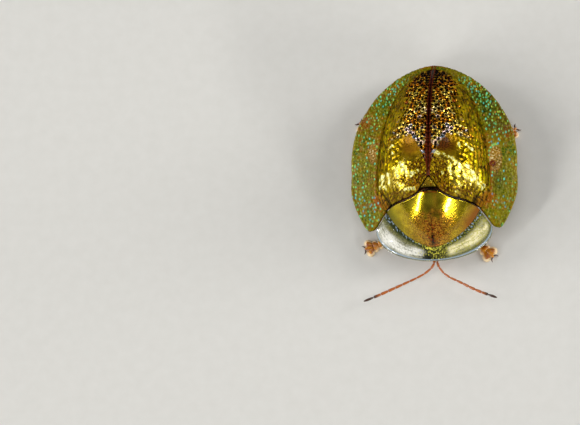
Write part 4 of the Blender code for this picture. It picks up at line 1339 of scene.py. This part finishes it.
def segment(start, end, stations, across=(0, 0, 1), sides=12, smooth=2):
    """One joint of a limb: a ring extruded from station to station, then turned from start to end.

    A station is its share of the length, its half width and half height there, and how far it
    leans to the side; across is the direction of the width.
    """
    start, end = Vector(start), Vector(end)
    length = (end - start).length
    bpy.ops.object.select_all(action="DESELECT")
    bpy.ops.mesh.primitive_circle_add(vertices=sides, radius=1, fill_type="NGON")
    piece = bpy.context.object
    bpy.ops.object.mode_set(mode="EDIT")
    bpy.ops.mesh.select_all(action="SELECT")
    before = (0, 1, 1, 0)
    for number, station in enumerate(stations):
        station = (*station, 0)[:4]
        step = ((station[3] - before[3]), 0, (station[0] - before[0]) * length)
        if number:
            bpy.ops.mesh.extrude_region_move(TRANSFORM_OT_translate={"value": step})
        else:
            bpy.ops.transform.translate(value=step)
        middle = (station[3], 0, station[0] * length)
        growth = (station[1] / before[1], station[2] / before[2], 1)
        bpy.ops.transform.resize(value=growth, center_override=middle)
        before = station
    bpy.ops.mesh.select_all(action="SELECT")
    bpy.ops.mesh.normals_make_consistent(inside=False)
    bpy.ops.object.mode_set(mode="OBJECT")
    rounding = piece.modifiers.new("rounding", "SUBSURF")
    rounding.levels = rounding.render_levels = smooth
    bpy.ops.object.modifier_apply(modifier=rounding.name)
    along = (end - start).normalized()
    upward = along.cross(Vector(across)).normalized()
    sideways = upward.cross(along)
    turn = Matrix((sideways, upward, along)).transposed().to_4x4()
    piece.data.transform(Matrix.Translation(start) @ turn)
    return piece


skull = ball((0, 0, 0), (1, 1, 1), HEAD_SEGMENTS, HEAD_RINGS)
aim = vertex_places(skull)
head = HEAD_AT + aim * HEAD_SEMI
face_weight = smooth_step((-aim[:, 2] + 0.1) / 0.7)[:, None]
head = head * (1 - face_weight) + (FACE_AT + aim * FACE_SEMI) * face_weight
crease = peak(head[:, 0], 0, 0.02) * (aim[:, 1] < 0)
from_eye = np.abs(head) * (1, 0, 0) + head * (0, 1, 1) - EYE_AT
socket = np.exp(-np.sum((from_eye / SOCKET_RADIUS) ** 2, axis=1))
head -= aim * (0.015 * crease + 0.05 * socket)[:, None]
skull.data.vertices.foreach_set("co", head.ravel())
painted(skull, "dusk", smooth_step((head[:, 2] - 0.50) / 0.2))
mouth = []
for side in (-1, 1):
    for line, stations, dark in ((JAW, JAW_STATIONS, 0.9), (PALP, PALP_STATIONS, 0.15)):
        ends = [Vector(point * (side, 1, 1)) for point in np.array(line)]
        for start, end in zip(ends, ends[1:]):
            mouth.append(painted(segment(start, end, stations, smooth=1), "dusk", dark))
lip = ball((0, -3.03, 0.27), (0.16, 0.06, 0.06), 24, 12)
mouth.append(painted(lip, "dusk", 0.4))
handed_in(together([skull, *mouth]), "head_capsule", amber_cuticle, "amber_cuticle", "head")

# The eyes: kidney-shaped domes of hundreds of tiny lenses, black and glossy, grown as one piece with
# the head and set in shallow sockets at its sides.
FACET = 0.022
FACET_DEPTH = 0.005
# Clear lenses over black pigment, grown side by side: glossy black with a fine pebbled sheen.
lens_cuticle, shader, place = new_material("black_lens_cuticle")
facets = add_node(
    lens_cuticle, "TexVoronoi", {"Vector": place, "Scale": 1 / (FACET * MM), "Randomness": 0.35}
)
over = add_node(
    lens_cuticle, "Mix", {"Factor": facets, 6: "#1c120c", 7: "#060404"}, out=2, data_type="RGBA"
)
bump = add_node(
    lens_cuticle, "Bump", {"Height": facets, "Strength": 0.6, "Distance": FACET_DEPTH * MM}, invert=True
)
set_inputs(lens_cuticle, shader, {
    "Base Color": over, "Normal": bump, "Roughness": 0.12, "IOR": CUTICLE_IOR,
})
for side_name, side in (("left", 1), ("right", -1)):
    middle = EYE_AT * (side, 1, 1)
    eye = ball(middle, EYE_SEMI, 48, 32)
    aim = (vertex_places(eye) - middle) / EYE_SEMI
    kidney = 0.06 * peak(aim[:, 1], -0.9, 0.3) * peak(aim[:, 2], 0, 0.35)
    eye.data.vertices.foreach_set("co", (vertex_places(eye) - aim * kidney[:, None]).ravel())
    handed_in(eye, f"eye_lens_{side_name}", lens_cuticle, "black_eye", f"eye_{side_name}")

# The feelers: eleven joints strung on soft skin, orange to where the last ones darken to black.
# A first stout joint, a short second, and a slightly thicker end.
FEELER_LENGTHS = (1.5, 0.8, 1.1, 1.1, 1.0, 1.0, 1.0, 1.0, 1.0, 1.0, 1.4)
FEELER_RADII = (0.060, 0.048, 0.042, 0.042, 0.044, 0.048, 0.053, 0.056, 0.057, 0.056, 0.052)
FEELER_PATHS = {
    "left": (
        1, (0.09, -3.04, 0.60), (0.05, -3.46, 0.53), (0.32, -3.84, 0.47),
        (0.84, -4.12, 0.45), (1.39, -4.42, 0.46), (2.08, -4.70, 0.48),
    ),
    "right": (
        -1, (0.09, -3.04, 0.60), (0.06, -3.46, 0.53), (0.39, -3.77, 0.46),
        (0.90, -4.02, 0.46), (1.85, -4.44, 0.48), (2.49, -4.70, 0.51),
    ),
}  # fmt: skip
FEELER_JOINT = ((0.0, 0.6, 0.6), (0.08, 0.8, 0.8), (0.5, 0.92, 0.92), (0.92, 1, 1), (1.0, 0.7, 0.7))
FEELER_END = ((0.0, 0.45, 0.45), (0.12, 0.62, 0.62), (0.45, 1, 1), (0.8, 0.75, 0.75), (1.0, 0.25, 0.25))
for side_name, (side, *route) in FEELER_PATHS.items():
    line = smooth_line(np.array(route) * (side, 1, 1), 121)
    joints = np.concatenate([[0], np.cumsum(FEELER_LENGTHS)]) / sum(FEELER_LENGTHS)
    points = resampled(line, joints)
    beads = []
    for number, radius in enumerate(FEELER_RADII):
        profile = FEELER_END if number == len(FEELER_RADII) - 1 else FEELER_JOINT
        stations = [(share, radius * wide, radius * high) for share, wide, high in profile]
        bead = segment(points[number], points[number + 1], stations, sides=10)
        away = np.linalg.norm(vertex_places(bead) - points[number], axis=1)
        share = away / np.linalg.norm(points[number + 1] - points[number])
        dusk = {9: smooth_step(share - 0.1), 10: 0.9}.get(number, 0.25 * (share > 0.9))
        beads.append(painted(bead, "dusk", dusk))
    feeler = together(beads)
    handed_in(feeler, f"feeler_{side_name}", amber_cuticle, "amber_cuticle", f"antenna_{side_name}")

# The six legs: hip, thigh, shin and a foot of broad padded joints, orange cuticle like stained
# glass, with two dark claws each and soles of cream adhesive hairs that hold on smooth surfaces.
LEGS = {
    "front_left": (1, (0.42, -2.08), (1.18, -1.98), (1.38, -2.66), (2.00, -3.24)),
    "front_right": (-1, (0.42, -2.08), (1.40, -2.00), (1.84, -2.56), (2.56, -2.78)),
    "middle_left": (1, (0.52, -0.80), (1.94, 0.04), (2.14, 0.84), (2.82, 1.44)),
    "middle_right": (-1, (0.52, -0.80), (1.98, 0.16), (2.16, 1.16), (2.72, 1.82)),
    "hind_left": (1, (0.50, -0.24), (1.34, 0.80), (1.66, 1.66), (1.46, 2.44)),
    "hind_right": (-1, (0.50, -0.24), (1.30, 0.86), (1.70, 1.70), (1.54, 2.46)),
}
LEG_ROOT_Z = 0.50
KNEE_Z = 0.46
ANKLE_Z = 0.28
SOLE_Z = 0.11
HIP_TOP = 1.02
HIP = ((0, 0.16, 0.20), (0.3, 0.21, 0.24), (0.7, 0.2, 0.22), (1, 0.08, 0.08))
HIP_HANGS = 0.14  # below the thigh's root
THIGH = (
    (0, 0.10, 0.09), (0.05, 0.15, 0.13), (0.2, 0.185, 0.155), (0.45, 0.205, 0.17),
    (0.7, 0.195, 0.16), (0.9, 0.15, 0.13), (1, 0.08, 0.08),
)  # fmt: skip
SHIN = (
    (0, 0.07, 0.07), (0.06, 0.115, 0.11), (0.3, 0.115, 0.11),
    (0.7, 0.145, 0.13), (0.94, 0.18, 0.15), (1, 0.12, 0.10),
)  # fmt: skip
ANKLE = ((0, 0.07, 0.06), (0.5, 0.08, 0.07), (1, 0.05, 0.05))
FOOT_JOINTS = ((0.0, 0.24, 0.12), (0.22, 0.50, 0.17))  # from and to, as shares of the foot, and half width
LOBES = (0.46, 0.78, 0.13, 0.14)  # from, to, half width, and distance from the middle
CLAW_JOINT_REACH = (0.50, 0.90)
CLAW_JOINT_RISE = 0.06
CLAW_JOINT = ((0, 0.03, 0.03), (0.4, 0.04, 0.04), (0.85, 0.055, 0.05), (1, 0.03, 0.03))
CLAW_ROOT = 0.86
CLAW_SPREAD = 0.15
CLAW_DROP = 0.07
CLAW_BOW = 0.03
FOOT_HEIGHT = 0.075
PAD_MIDDLE_Z = 0.035
PAD_HEIGHT = 0.075
PAD_SPREAD_FRONT = 1.22  # half a cushion's width, as a share of its joint's
PAD_SPREAD = 0.85
PAD_HAIRS = 90
PAD_HAIR_RADIUS = 0.006
LEG_CLOUD = 0.2
LEG_WAVE_DEPTH = 0.01
CLAW_CLOUD = 0.05

# Clear tanned cuticle over pale muscle: it glows orange like stained glass, under a smooth waxy gloss.
orange_leg, shader, place = new_material("orange_leg_cuticle")
cloud = add_node(orange_leg, "TexNoise", {"Vector": place, "Scale": 1 / (LEG_CLOUD * MM), "Detail": 4})
clouded = add_node(
    orange_leg, "MapRange", {"Value": cloud, "From Min": NOISE_LOW, "From Max": NOISE_HIGH}
)
over = add_node(
    orange_leg, "Mix", {"Factor": clouded, 6: "#8c3e02", 7: "#d48c14"}, out=2, data_type="RGBA"
)
bump = add_node(orange_leg, "Bump", {"Height": cloud, "Strength": 0.4, "Distance": LEG_WAVE_DEPTH * MM})
set_inputs(orange_leg, shader, {
    "Base Color": over, "Normal": bump, "Roughness": 0.3, "IOR": CUTICLE_IOR,
    "Subsurface Weight": 0.15, "Subsurface Radius": (0.10 * MM, 0.04 * MM, 0.01 * MM),
    "Coat Weight": 0.4, "Coat Roughness": 0.1,
})

# The hardest cuticle of the animal, solid and tanned nearly black: the shine of polished horn.
claw_horn, shader, place = new_material("dark_claw_horn")
cloud = add_node(claw_horn, "TexNoise", {"Vector": place, "Scale": 1 / (CLAW_CLOUD * MM)})
over = add_node(claw_horn, "Mix", {"Factor": cloud, 6: "#1c0803", 7: "#542008"}, out=2, data_type="RGBA")
set_inputs(claw_horn, shader, {"Base Color": over, "Roughness": 0.25, "IOR": CUTICLE_IOR})


def foot_joint(heel, toe, sideways, part, width, drawn_to):
    """A flat heart-shaped joint of the foot, broadest near its far end."""
    start = heel.lerp(toe, part[0]) + sideways * drawn_to * 0.3
    end = heel.lerp(toe, part[1]) + sideways * drawn_to
    stations = (
        (0, 0.35 * width, 0.5 * FOOT_HEIGHT), (0.15, 0.5 * width, 0.8 * FOOT_HEIGHT),
        (0.5, 0.85 * width, FOOT_HEIGHT), (0.85, width, 0.9 * FOOT_HEIGHT),
        (1, 0.7 * width, 0.5 * FOOT_HEIGHT),
    )  # fmt: skip
    return segment(start, end, stations, across=sideways)


def pad_under(heel, toe, sideways, part, width, drawn_to, spread_out):
    """The cushion that a foot joint's hairs grow from, flat on the floor, and the hairs' roots and tips."""
    middle = heel.lerp(toe, (part[0] + 2 * part[1]) / 3) + sideways * drawn_to
    middle.z = PAD_MIDDLE_Z
    reach = (toe - heel).length * (part[1] - part[0]) * 0.52
    cushion = ball((0, 0, 0), (spread_out * width, 0.9 * spread_out * reach, PAD_HEIGHT), 24, 12)
    forward = (toe - heel).normalized()
    cushion.data.transform(
        Matrix.Translation(middle) @ Matrix((sideways, forward, (0, 0, 1))).transposed().to_4x4()
    )
    places = vertex_places(cushion)
    places[:, 2] = np.maximum(places[:, 2], 0)
    cushion.data.vertices.foreach_set("co", places.ravel())
    turn = draw.uniform(0, 2 * math.pi, PAD_HAIRS)
    out = draw.uniform(0.75, 1.0, PAD_HAIRS)
    ways = np.outer(np.cos(turn) * (spread_out - 0.12) * width, sideways)
    ways += np.outer(np.sin(turn) * 0.82 * spread_out * reach, forward)
    roots = np.array(middle) + ways * out[:, None] * 0.95
    roots[:, 2] = draw.uniform(0.03, PAD_HEIGHT, PAD_HAIRS)
    tips = np.array(middle) + ways * (out[:, None] + 0.34)
    tips[:, 2] = draw.uniform(0.004, 0.03, PAD_HAIRS)
    return cushion, roots, tips


for leg_name, (side, *plan_points) in LEGS.items():
    heights = (LEG_ROOT_Z, KNEE_Z, ANKLE_Z, SOLE_Z)
    root, knee, ankle, toe = (
        Vector((side * at[0], at[1], z)) for at, z in zip(plan_points, heights)
    )
    heel = Vector((ankle.x, ankle.y, SOLE_Z))
    forward = (toe - heel).normalized()
    sideways = Vector((-forward.y, forward.x, 0))
    level = Vector((0, 0, 1)).cross(knee - root).normalized()
    hip_top = Vector((root.x, root.y, HIP_TOP))
    parts = [
        segment(hip_top, root - Vector((0, 0, HIP_HANGS)), HIP, across=level),
        segment(root - (knee - root) * 0.05, knee, THIGH, across=level),
        segment(knee, ankle, SHIN, across=Vector((0, 0, 1)).cross(ankle - knee).normalized()),
        segment(ankle, heel.lerp(toe, 0.12), ANKLE, across=sideways, smooth=1),
    ]
    soles, roots, tips = [], [], []
    joints = [((start, end), width, 0.0) for start, end, width in FOOT_JOINTS]
    joints += [((LOBES[0], LOBES[1]), LOBES[2], hand * LOBES[3]) for hand in (-1, 1)]
    for part, width, drawn_to in joints:
        parts.append(foot_joint(heel, toe, sideways, part, width, drawn_to))
        spread_out = PAD_SPREAD_FRONT if "front" in leg_name else PAD_SPREAD
        cushion, starts, ends = pad_under(heel, toe, sideways, part, width, drawn_to, spread_out)
        soles.append(cushion)
        roots.append(starts)
        tips.append(ends)
    start, end = (heel.lerp(toe, share) for share in CLAW_JOINT_REACH)
    start.z += CLAW_JOINT_RISE
    parts.append(segment(start, end, CLAW_JOINT, across=sideways, smooth=1))
    node = f"leg_{leg_name}"
    handed_in(together(parts), f"{node}_joints", orange_leg, "pale_feet", node)
    claws = []
    for hand in (-1, 1):
        bow = hand * CLAW_BOW
        start = heel.lerp(toe, CLAW_ROOT) + sideways * bow
        end = toe + sideways * hand * CLAW_SPREAD - Vector((0, 0, CLAW_DROP))
        claw = ((0, 0.03, 0.035), (0.3, 0.03, 0.035, bow), (0.7, 0.018, 0.02, bow), (1, 0.004, 0.004))
        claws.append(segment(start, end, claw, across=sideways, sides=10))
    handed_in(together(claws), f"{node}_claws", claw_horn, "pale_feet", node)
    fringe = bristles("fringe", np.concatenate(roots), np.concatenate(tips), PAD_HAIR_RADIUS)
    handed_in(together([*soles, fringe]), f"{node}_soles", pale_hair, "pale_feet", node)
